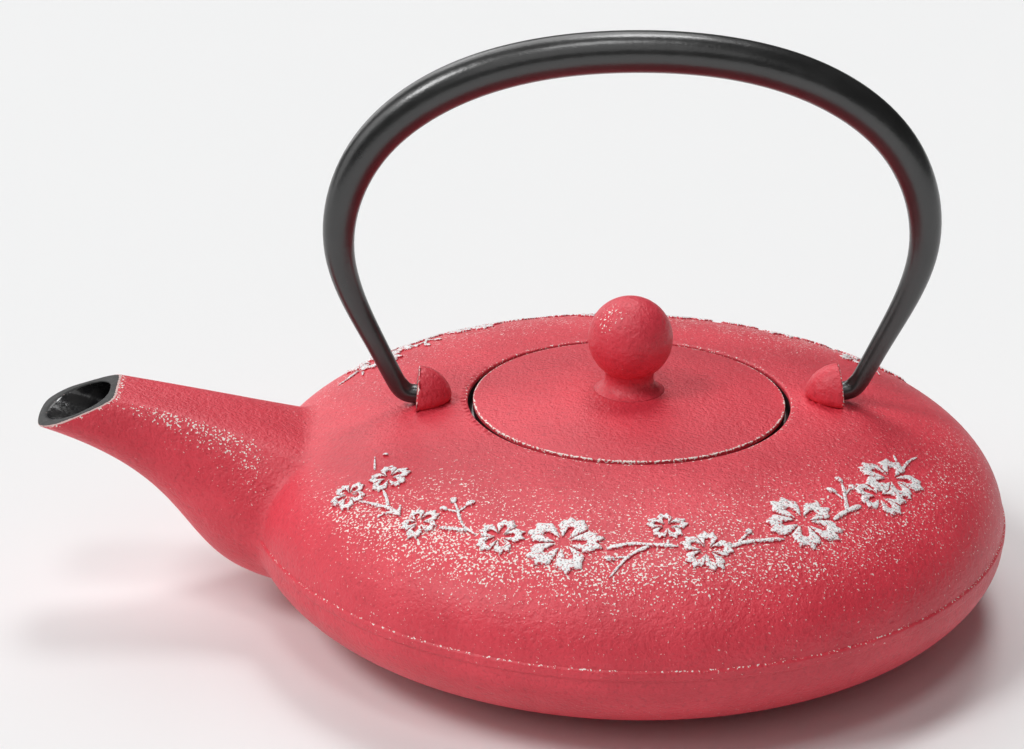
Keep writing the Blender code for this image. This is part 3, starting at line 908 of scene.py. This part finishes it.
def rub_of(points, normals, body_tree, spout_tree, outer_skin):
    """How strongly each point of the pot was brushed or worn, with a painted highlight of pale flecks along
    the spout's near ridge.
    """
    rub_and_highlight = brushed(points)
    x, (out, aside), z = points[:, 0], np.abs(points[:, :2]).T, points[:, 2]
    on_spout = (distances(spout_tree, points) < SPOUT_SKIN) & (x < SPOUT_ROOT_X)
    on_spout &= distances(body_tree, points) > BODY_SKIN
    rub_and_highlight = np.clip(np.where(on_spout, spout_rub_and_highlight(points, normals), rub_and_highlight), 0, 1)
    (nearest, farthest), half_width, lowest = LUG_BOX
    on_lug = (out > nearest) & (out < farthest) & (aside < half_width) & (z > lowest)
    lug_rim = np.clip(1 - np.abs(out + (z - PIVOT_Z) * math.tan(LUG_LEAN) - LUG_FACE) / LUG_RIM, 0, 1)
    rub_and_highlight = np.where(on_lug, 0.05 + 1.60 * lug_rim * (np.abs(normals[:, 0]) < 0.97), rub_and_highlight)
    depth = behind_lip(points)
    lip_edge = (x < LIP_END_X) & (depth > LIP_EDGE[0]) & (depth < LIP_EDGE[1])
    return np.where(lip_edge & (distances(outer_skin, points) < ON_SKIN), 1.0, rub_and_highlight)


def build_pot(red, black, lip, dull):
    outside = turned("pot_outside", pot_outside(), pot_angles())
    hollow = turned("hollow", hollow_profile(), even_angles(120))
    spout, channel = spout_meshes()
    lugs = [lug_mesh(-1), lug_mesh(1)]
    body_tree, spout_tree, lug_tree = tree_of(outside), tree_of(spout), tree_of(*lugs)
    outer_skin, inner_skin = tree_of(outside, spout, *lugs), tree_of(hollow, channel)

    pot = object_of("pot", outside.copy())
    for tool in (spout, *lugs):
        change(pot, tool, "UNION")
    for tool in (hollow, channel, pivot_hole_mesh(-1), pivot_hole_mesh(1)):
        change(pot, tool, "DIFFERENCE")
    mesh = pot.data
    clean_slivers(mesh)
    soften_join(mesh, body_tree, spout_tree, SPOUT_FILLET)
    soften_join(mesh, body_tree, lug_tree, LUG_FILLET)
    relax_crease(mesh)
    mesh.shade_smooth()
    mesh.materials.clear()
    for material in (red, black, lip, dull):
        mesh.materials.append(material)
    paint_pot(mesh, outer_skin, inner_skin)
    normals = np.array([vertex.normal for vertex in mesh.vertices])
    set_attribute(mesh, "rub_and_highlight", rub_of(coordinates(mesh), normals, body_tree, spout_tree, outer_skin))
    hand_over(pot, "pot", "pot_body")


def clean_slivers(mesh):
    """Closes up the tiny edges that joining solids leaves along their seam."""
    with opened(mesh) as shape:
        bmesh.ops.remove_doubles(shape, verts=shape.verts, dist=SLIVER)
        bmesh.ops.dissolve_degenerate(shape, dist=SLIVER / 2, edges=shape.edges)
        bmesh.ops.triangulate(shape, faces=[face for face in shape.faces if len(face.verts) > 4])


def relax_crease(mesh):
    """Evens out the mesh in the fillet round the spout's root."""
    x, y, _ = coordinates(mesh).T
    near = np.abs(np.hypot(x, y) - CREASE_RADIUS) < CREASE_REACH
    chosen = near & (np.abs(np.arctan2(y, -x)) < CREASE_TURN)
    all_ways = {"use_axis_x": True, "use_axis_y": True, "use_axis_z": True}
    with opened(mesh) as shape:
        verts = [vertex for vertex, pick in zip(shape.verts, chosen) if pick]
        for _ in range(2):
            bmesh.ops.smooth_vert(shape, verts=verts, factor=0.5, **all_ways)


def paint_pot(mesh, outer_skin, inner_skin):
    """Red outside and at the mouth's edge, black inside, grey on the spout's lip and dull on the ledge."""
    centres = np.array([polygon.center for polygon in mesh.polygons])
    x, _, z = centres.T
    inner = distances(inner_skin, centres) < distances(outer_skin, centres)
    mouth_side = x > POT_MOUTH_X
    cases = [
        (x < LIP_END_X) & (behind_lip(centres) < LIP_DEPTH),
        mouth_side & (z > MOUTH_TOP_Z - RED_MOUTH_DEPTH),
        mouth_side & inner & (z > LEDGE_Z - MM),
        inner,
    ]
    chosen = np.select(cases, [2, 0, 3, 1], 0)
    mesh.polygons.foreach_set("material_index", chosen.astype(np.int32))


# ---------------------------------------------------------------- relief


PROFILE = shoulder(0, MOUTH_RADIUS, 1500)
STEPS = np.gradient(PROFILE, axis=0)
PROFILE_NORMALS = np.stack([-STEPS[:, 1], STEPS[:, 0]], 1) / np.linalg.norm(STEPS, axis=1)[:, None]


def laid_on_shoulder(anchor, flat, heights):
    """Flat points round an anchor of bearing and radius, wrapped onto the shoulder and raised by heights."""
    bearing, radius = math.radians(anchor[0]), anchor[1]
    index = np.argmin(np.abs(PROFILE[:, 0] - radius))
    normal_r, normal_z = PROFILE_NORMALS[index]
    outward = np.array([math.cos(bearing), math.sin(bearing), 0])
    across = np.array([-math.sin(bearing), math.cos(bearing), 0])
    inward = np.array([-normal_z * outward[0], -normal_z * outward[1], normal_r])
    place = outward * radius + np.array([0, 0, PROFILE[index, 1]])
    x, y, z = (place + flat[:, :1] * across + flat[:, 1:2] * inward).T
    bearings = np.arctan2(y, x)
    gaps = (np.hypot(x, y)[:, None] - PROFILE[:, 0]) ** 2 + (z[:, None] - PROFILE[:, 1]) ** 2
    near = np.argmin(gaps, axis=1)
    lifted = PROFILE[near] + PROFILE_NORMALS[near] * heights[:, None]
    return np.stack([lifted[:, 0] * np.cos(bearings), lifted[:, 0] * np.sin(bearings), lifted[:, 1]], 1)


# A ribbon's section: share of the way across, share of the full height, and how brightly it is brushed
RIBBON_SECTION = np.array(
    [
        (0.00, -0.50, 0.0),
        (0.00, 0.50, 0.2),
        (0.07, 0.88, 0.7),
        (0.25, 1.00, 1.0),
        (0.50, 1.00, 1.0),
        (0.75, 1.00, 1.0),
        (0.93, 0.88, 0.7),
        (1.00, 0.50, 0.2),
        (1.00, -0.50, 0.0),
    ]
)


def add_ribbon(relief, anchor, left, right, height, turn):
    """A raised strip between two flat lines. height gives the rise at each step."""
    across, share, _ = RIBBON_SECTION.T
    loops = []
    for a, b, rise in zip(left, right, height):
        flat = a + (b - a) * across[:, None]
        loops.append(laid_on_shoulder(anchor, flat, share * rise) @ turn.T)
    relief.add(loops)


def add_petal(relief, anchor, size, direction, chance, turn):
    """A petal with two pointed tips and a narrow hollow that opens towards the flower's centre."""
    angles = np.linspace(-PETAL_REACH, PETAL_REACH, PETAL_STEPS)
    around = np.abs(angles)
    tips, notch = hump(around, TIP_ANGLE, TIP_WIDTH), hump(angles, 0, TIP_WIDTH)
    tip = 0.43 + chance.uniform(0.08, 0.14) * tips - chance.uniform(0.03, 0.07) * notch
    tip = tip * (1 + chance.uniform(-0.10, 0.10) * np.sin(angles))
    spread = math.tan(PETAL_SPREAD)
    side = np.full_like(angles, 1.0)
    wide = around > math.radians(50)
    side[wide] = PETAL_CENTRE * spread / (np.sin(around[wide]) - spread * np.cos(around[wide]))
    outer = -np.log(np.exp(-PETAL_BLEND * tip) + np.exp(-PETAL_BLEND * side)) / PETAL_BLEND
    outer = outer + 0.008 * np.sin(angles * 11 + chance.uniform(0, 6))
    hollow = min(HOLLOW_WIDTH / size, 0.12) * chance.uniform(0.85, 1.15)
    slot = np.where(around > math.pi / 2, hollow / np.maximum(np.sin(around), 0.2), hollow)
    inner = np.minimum(slot, outer - 0.05)
    taper = 0.35 + 0.65 * np.clip((PETAL_REACH - around) / math.radians(25), 0, 1) ** 0.5
    middle, half = (outer + inner) / 2, (outer - inner) / 2 * taper
    cos, sin = math.cos(direction), math.sin(direction)
    lines = []
    for radii in (middle - half, middle + half):
        u, v = PETAL_CENTRE + radii * np.cos(angles), radii * np.sin(angles)
        lines.append(np.stack([u * cos - v * sin, u * sin + v * cos], 1) * size)
    add_ribbon(relief, anchor, *lines, RELIEF_HEIGHT * (0.35 + 0.65 * taper), turn)


def add_flower(relief, flower, chance, turn):
    bearing, radius, size, first = flower
    for i in range(5):
        direction = math.radians(first + 72 * i + chance.uniform(-4, 4))
        add_petal(relief, (bearing, radius), size * chance.uniform(0.94, 1.06), direction, chance, turn)


def flat_place(anchor, bearing, radius):
    """A point of the shoulder as flat distances across and inwards from an anchor."""
    mid = (radius + anchor[1]) / 2
    across = math.radians(bearing - anchor[0]) * mid
    indices = [np.argmin(np.abs(PROFILE[:, 0] - r)) for r in (anchor[1], radius)]
    low, high = min(indices), max(indices)
    arc = np.linalg.norm(np.diff(PROFILE[low : high + 1], axis=0), axis=1).sum()
    return np.array([across, arc if radius < anchor[1] else -arc])


def add_twig(relief, twig, chance, turn):
    points, first_width, last_width = twig
    anchor = points[len(points) // 2]
    path = smooth_path([flat_place(anchor, *point) for point in points], 8)
    along = np.gradient(path, axis=0)
    side = np.stack([-along[:, 1], along[:, 0]], 1) / np.linalg.norm(along, axis=1)[:, None]
    t = np.linspace(0, 1, len(path))
    wobble = 1 + 0.12 * np.sin(t * chance.uniform(14, 20) + chance.uniform(0, 6))
    ends = np.clip(np.minimum(t, 1 - t) / 0.08, 0.25, 1) ** 0.5
    half = blend(first_width, last_width, t) / 2 * wobble * ends
    height = RELIEF_HEIGHT * (0.55 + 0.45 * ends) * np.clip(half / 0.0004, 0.6, 1)
    side = side * half[:, None]
    add_ribbon(relief, anchor, path + side, path - side, height, turn)


def add_bud(relief, bud, turn):
    bearing, radius, length, width, direction = bud
    t = np.linspace(-1, 1, 15)
    round_off = np.sqrt(np.clip(1 - (t * 0.985) ** 2, 0, 1))
    pointing = math.radians(direction)
    forward = np.array([math.cos(pointing), math.sin(pointing)])
    side = np.array([-forward[1], forward[0]])
    middle = forward * (t * length / 2)[:, None]
    half = side * (round_off * width / 2)[:, None]
    height = RELIEF_HEIGHT * 1.1 * (0.3 + 0.7 * round_off)
    add_ribbon(relief, (bearing, radius), middle + half, middle - half, height, turn)


def build_garland(name, degrees, lower, seed, silver):
    """The garland, turned about the pot by degrees and laid a distance lower on its shoulder."""
    chance = random.Random(seed)
    turn = np.array(Matrix.Rotation(math.radians(degrees), 3, "Z"))
    relief = Gathered()
    for bearing, radius, *shape in FLOWERS:
        add_flower(relief, (bearing, radius + lower, *shape), chance, turn)
    for points, *widths in TWIGS:
        add_twig(relief, ([(bearing, radius + lower) for bearing, radius in points], *widths), chance, turn)
    for bearing, radius, *shape in BUDS:
        add_bud(relief, (bearing, radius + lower, *shape), turn)
    mesh = relief.mesh(name)
    set_attribute(mesh, "rub_and_highlight", np.resize(RIBBON_SECTION[:, 2], len(relief.points)))
    hand_over(object_of(name, mesh, silver), "pot")


# ---------------------------------------------------------------- lid and knob


def lid_top(radius):
    return MOUTH_TOP_Z + LID_CROWN * (1 - (radius / LID_RADIUS) ** 2)


def build_lid(red, black):
    skirt_inside, skirt_end = SKIRT_RADIUS - SKIRT_WIDTH, LID_SEAT_Z - SKIRT_DEPTH
    top = [(radius, lid_top(radius)) for radius in np.linspace(STUD_HOLE_RADIUS, LID_RADIUS - 0.0002, 40)]
    edge = [
        (LID_RADIUS, MOUTH_TOP_Z - 0.0001),
        (LID_RADIUS, LID_SEAT_Z),
        (SKIRT_RADIUS, LID_SEAT_Z),
        (SKIRT_RADIUS, skirt_end),
        (skirt_inside, skirt_end),
    ]
    inwards = np.linspace(skirt_inside, STUD_HOLE_RADIUS, 12)
    under = [(radius, lid_top(radius) - LID_THICKNESS) for radius in inwards]
    profile = divided(rounded(top + edge + under, LID_EDGE_ROUND, closed=True), PROFILE_STEP, closed=True)
    mesh = turned("lid", profile, even_angles(180), closed=True)
    lid = object_of("lid_plate", mesh, red, black)
    for polygon in mesh.polygons:
        depth = lid_top(math.hypot(polygon.center.x, polygon.center.y)) - polygon.center.z
        polygon.material_index = int(depth > RED_EDGE_DEPTH)
    x, y, z = coordinates(mesh).T
    radius, bearing = np.hypot(x, y), np.degrees(np.arctan2(y, x))
    rim = hump(radius, LID_RADIUS - 0.00015, 0.00025) * (z > MOUTH_TOP_Z - 0.0004)
    near_rim = hump(radius, LID_RADIUS, 0.008) * (0.4 + 0.6 * hump(bearing, -120, 60))
    set_attribute(mesh, "rub_and_highlight", 0.12 + 0.18 * near_rim + 1.20 * rim)
    hand_over(lid, "lid", "lid")


def build_knob(red):
    neck_angle = math.acos(NECK_RADIUS / BALL_RADIUS)
    ball = [(0, BALL_Z + BALL_RADIUS)]
    for angle in np.linspace(math.pi / 2, -neck_angle, 49)[1:]:
        ball.append((BALL_RADIUS * math.cos(angle), BALL_Z + BALL_RADIUS * math.sin(angle)))
    foot_z = lid_top(KNOB_FOOT_RADIUS)
    flare = []
    for angle in FLARE_END * np.arange(1, 17) / 16:
        out = (1 - math.cos(angle)) / (1 - math.cos(FLARE_END))
        down = math.sin(angle) / math.sin(FLARE_END)
        flare.append((blend(NECK_RADIUS, KNOB_FOOT_RADIUS, out), blend(NECK_Z, foot_z, down)))
    foot = [flare[-1], (STUD_RADIUS, lid_top(0) + KNOB_GAP), (STUD_RADIUS, STUD_END_Z), (0, STUD_END_Z)]
    profile = np.vstack([ball, flare[:-1], divided(rounded(foot, 0.0004), PROFILE_STEP)])
    mesh = turned("knob", profile, even_angles(96))
    points = coordinates(mesh)
    # Pale flecks on the ball's lit upper-left side: a painted highlight
    away = (points - (0, 0, BALL_Z)) / BALL_RADIUS
    highlight_side = np.array(KNOB_HIGHLIGHT_SIDE) / np.linalg.norm(KNOB_HIGHLIGHT_SIDE)
    rub_and_highlight = 0.72 * hump(np.linalg.norm(away - highlight_side, axis=1), 0, 0.55)
    set_attribute(mesh, "rub_and_highlight", 0.10 + rub_and_highlight * (points[:, 2] > NECK_Z))
    hand_over(object_of("knob", mesh, red), "lid", "lid_knob")


def build_fasteners(steel):
    low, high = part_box("knob_washer")
    hole = STUD_HOLE_RADIUS
    profile = [(hole, high.z), (high.x, high.z), (high.x, low.z), (hole, low.z)]
    profile = divided(rounded(profile, 0.0002, closed=True), 0.0006, closed=True)
    washer = turned("washer", profile, even_angles(72), closed=True)
    hand_over(object_of("washer", washer, steel), "lid", "knob_washer")
    low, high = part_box("knob_nut")
    nut = hex_nut_mesh(max(high.x, high.y), low.z, high.z)
    hand_over(object_of("nut", nut, steel), "lid", "knob_nut")


def hex_nut_mesh(corner, low, high):
    """A hexagonal nut with chamfered corners and a threaded hole."""
    flat = corner * math.cos(math.pi / 6)
    angles = even_angles(96)
    heights = (low, low + NUT_CHAMFER, high - NUT_CHAMFER, high)
    rings = []
    for z, limit in zip(heights, (flat * NUT_FACE, corner, corner, flat * NUT_FACE)):
        folded = [(angle + math.pi / 6) % (math.pi / 3) - math.pi / 6 for angle in angles]
        rings.append((z, [min(flat / math.cos(angle), limit) for angle in folded]))
    half_turns = 2 * THREAD_TURNS
    for k in range(half_turns + 1):
        radius = STUD_HOLE_RADIUS - THREAD_BITE + (THREAD_DEPTH if k % 2 else 0.0)
        rings.append((blend(high, low, k / half_turns), [radius] * len(angles)))
    points = [(r * math.cos(a), r * math.sin(a), z) for z, radii in rings for a, r in zip(angles, radii)]
    mesh = mesh_of("nut", points, ring_faces(len(rings), len(angles), closed=True))
    mesh.set_sharp_from_angle(angle=math.radians(35))
    return mesh


# ---------------------------------------------------------------- handle


def spline_through(points, per_side):
    """A curve through points of x, z and radius that bends without a jump anywhere."""
    points = np.asarray(points, float)
    gaps = np.linalg.norm(np.diff(points[:, :2], axis=0), axis=1)
    slopes = np.diff(points, axis=0) / gaps[:, None]
    matrix = np.eye(len(points))
    right = np.zeros_like(points)
    for i in range(1, len(points) - 1):
        matrix[i, i - 1 : i + 2] = gaps[i - 1], 2 * (gaps[i - 1] + gaps[i]), gaps[i]
        right[i] = 6 * (slopes[i] - slopes[i - 1])
    bends = np.linalg.solve(matrix, right)
    made = []
    for i, gap in enumerate(gaps):
        for k in range(per_side):
            b = k / per_side
            a = 1 - b
            curved = ((a**3 - a) * bends[i] + (b**3 - b) * bends[i + 1]) * gap**2 / 6
            made.append(a * points[i] + b * points[i + 1] + curved)
    made.append(points[-1])
    return np.array(made)


def build_handle(black):
    mirrored = [(-x, z, radius) for x, z, radius in reversed(HANDLE_POINTS[1:])]
    path = spline_through(mirrored + list(HANDLE_POINTS), HANDLE_STEPS)
    along = np.gradient(path[:, :2], axis=0)
    along /= np.linalg.norm(along, axis=1)[:, None]
    loops = []
    for (x, z, radius), (run, rise) in zip(path, along):
        nub = Vector((math.copysign(NUB_PLACE[0], x), 0.0, NUB_PLACE[1]))
        loop = []
        for angle in even_angles(HANDLE_SIDES):
            out = radius * math.cos(angle)
            point = Vector((x - rise * out, radius * math.sin(angle), z + run * out))
            point.z += NUB_HEIGHT * hump((point - nub).length, 0, NUB_REACH)
            loop.append(point)
        loops.append(loop)
    bail = object_of("bail", lofted("bail", loops), black)
    hand_over(bail, "handle", "handle")


# ---------------------------------------------------------------- infuser


def turned_ring(name, node, profile, steel):
    profile = divided(rounded(profile, 0.00018, closed=True, steps=3), 0.0012, closed=True)
    ring = object_of(name, turned(name, profile, even_angles(120), closed=True), steel)
    hand_over(ring, "infuser", node)


def wire_loops(path, outward, closed=False):
    """Square sections along a wire. outward is the way out of the cloth, for all or each of its points."""
    path = np.asarray(path)
    ahead, behind = np.roll(path, -1, axis=0), np.roll(path, 1, axis=0)
    if not closed:
        ahead[-1], behind[0] = path[-1], path[0]
    along = ahead - behind
    along /= np.linalg.norm(along, axis=1)[:, None]
    side = np.cross(along, outward)
    side /= np.linalg.norm(side, axis=1)[:, None]
    side, up = side * WIRE_RADIUS, np.cross(side, along) * WIRE_RADIUS
    return np.stack([path + side, path + up, path - side, path - up], 1)


def weave(count, start):
    """How a wire passes over and under: 1, 0, -1, 0 and so on, from its start-th step."""
    steps = np.arange(start, start + count)
    return np.where(steps % 2, 0, 1 - steps % 4)


def woven_wall(radius, low, high):
    """Wire cloth rolled into a cylinder."""
    columns = 2 * round(math.pi * radius / WEAVE_PITCH)
    rows = int((high - low) / WEAVE_PITCH)
    wires = Gathered()
    heights = np.linspace(low, high, 2 * rows + 1)
    for column in range(columns):
        angle = math.tau * column / columns
        outward = np.array([math.cos(angle), math.sin(angle), 0])
        reach = radius + WIRE_RADIUS * weave(2 * rows + 1, 2 * column)
        path = reach[:, None] * outward + heights[:, None] * (0, 0, 1)
        wires.add(wire_loops(path, outward))
    around = math.tau * np.arange(2 * columns) / (2 * columns)
    outwards = np.stack([np.cos(around), np.sin(around), 0 * around], 1)
    for row in range(rows):
        z = low + (high - low) * (2 * row + 1) / (2 * rows)
        reach = radius + WIRE_RADIUS * weave(2 * columns, 2 * row)
        wires.add(wire_loops(reach[:, None] * outwards + (0, 0, z), outwards, closed=True), closed=True)
    return wires.mesh("woven_wall")


def woven_disc(radius, z):
    """Flat wire cloth cut to a disc."""
    wires = Gathered()
    count = int(radius / WEAVE_PITCH)
    for direction in (0, 1):
        for line in range(-count, count + 1):
            offset = line * WEAVE_PITCH
            steps = int(math.sqrt(max(radius**2 - offset**2, 0)) / WEAVE_PITCH)
            if steps < 1:
                continue
            runs = np.arange(-2 * steps, 2 * steps + 1) * WEAVE_PITCH / 2
            heights = z + WIRE_RADIUS * weave(len(runs), 2 * (line + direction - steps))
            flat = (runs, np.full_like(runs, offset))
            wires.add(wire_loops(np.stack([flat[direction], flat[1 - direction], heights], 1), (0, 0, 1)))
    return wires.mesh("woven_floor")


def build_infuser(steel, wire):
    collar = COLLAR_INSIDE + SHEET
    low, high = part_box("infuser_rim")
    under = high.z - FLANGE
    rim = [(COLLAR_INSIDE, high.z), (high.x, high.z), (high.x, under)]
    rim += [(collar, under), (collar, low.z), (COLLAR_INSIDE, low.z)]
    turned_ring("rim_ring", "infuser_rim", rim, steel)
    low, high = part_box("infuser_bottom_ring")
    ring = [(collar, high.z), (collar, low.z), (RING_INSIDE, low.z)]
    ring += [(RING_INSIDE, low.z + SHEET), (COLLAR_INSIDE, low.z + SHEET), (COLLAR_INSIDE, high.z)]
    turned_ring("bottom_ring", "infuser_bottom_ring", ring, steel)
    low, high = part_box("infuser_wall")
    wall = woven_wall(high.x - WALL_CLOTH_INSET, low.z, high.z)
    hand_over(object_of("woven_wall", wall, wire), "infuser", "infuser_wall")
    low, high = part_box("infuser_floor")
    floor = woven_disc(high.x - FLOOR_CLOTH_INSET, (low.z + high.z) / 2)
    hand_over(object_of("woven_floor", floor, wire), "infuser", "infuser_floor")


# ---------------------------------------------------------------- stage


def build_stage():
    size = FLOOR_HALF_SIZE
    corners = [(-size, -size, 0), (size, -size, 0), (size, size, 0), (-size, size, 0)]
    mesh = bpy.data.meshes.new("floor")
    mesh.from_pydata(corners, [], [(0, 1, 2, 3)])
    floor = object_of("floor", mesh, floor_material())
    floor.location.z = -FLOOR_BELOW


def build_lights():
    """Soft suns, and dim surroundings to reflect."""
    for name, bearing, height, strength, spread in LIGHTS:
        light = bpy.data.lights.new(name, "SUN")
        light.energy = strength
        light.angle = math.radians(spread)
        lamp = object_of(name, light)
        bearing, height = math.radians(bearing), math.radians(height)
        level = math.cos(height)
        towards = Vector((level * math.cos(bearing), level * math.sin(bearing), math.sin(height)))
        lamp.rotation_mode = "QUATERNION"
        lamp.rotation_quaternion = towards.to_track_quat("Z", "Y")
    world = bpy.data.worlds.new("studio")
    bpy.context.scene.world = world
    world.use_nodes = True
    background = world.node_tree.nodes["Background"]
    background.inputs["Color"].default_value = (1.0, 1.0, 1.0, 1.0)
    background.inputs["Strength"].default_value = SURROUNDINGS


def build_camera():
    camera = bpy.data.cameras.new("camera")
    camera.sensor_width = 36
    camera.lens = CAMERA_LENS
    camera.clip_start = 0.01
    camera.clip_end = 50
    holder = object_of("camera", camera)
    bearing, down, roll = (math.radians(angle) for angle in (CAMERA_BEARING, CAMERA_DOWN, CAMERA_ROLL))
    back = Vector((math.sin(bearing) * math.cos(down), -math.cos(bearing) * math.cos(down), math.sin(down)))
    right = Vector((math.cos(bearing), math.sin(bearing), 0))
    turn = Matrix((right, back.cross(right), back)).transposed().to_4x4() @ Matrix.Rotation(roll, 4, "Z")
    holder.matrix_world = Matrix.Translation(CAMERA_PLACE) @ turn
    bpy.context.scene.camera = holder


red_enamel = red_enamel_material()
black_enamel = black_enamel_material()
dull_black = dull_black_material()
worn_lip = lip_material()
silvered = silvered_material()
satin_black = black_handle_material()
stainless = steel_material("stainless_steel", 0.62, 0.22, 0.36)
wire_steel = steel_material("wire_steel", 0.56, 0.28, 0.42)

build_pot(red_enamel, black_enamel, worn_lip, dull_black)
build_garland("garland_front", 0, 0.0, 5, silvered)
build_garland("garland_back", 180, BACK_GARLAND_LOWER, 9, silvered)
build_lid(red_enamel, dull_black)
build_knob(red_enamel)
build_fasteners(stainless)
build_handle(satin_black)
build_infuser(stainless, wire_steel)

build_stage()
build_lights()
build_camera()
bpy.context.scene.view_settings.view_transform = "Standard"
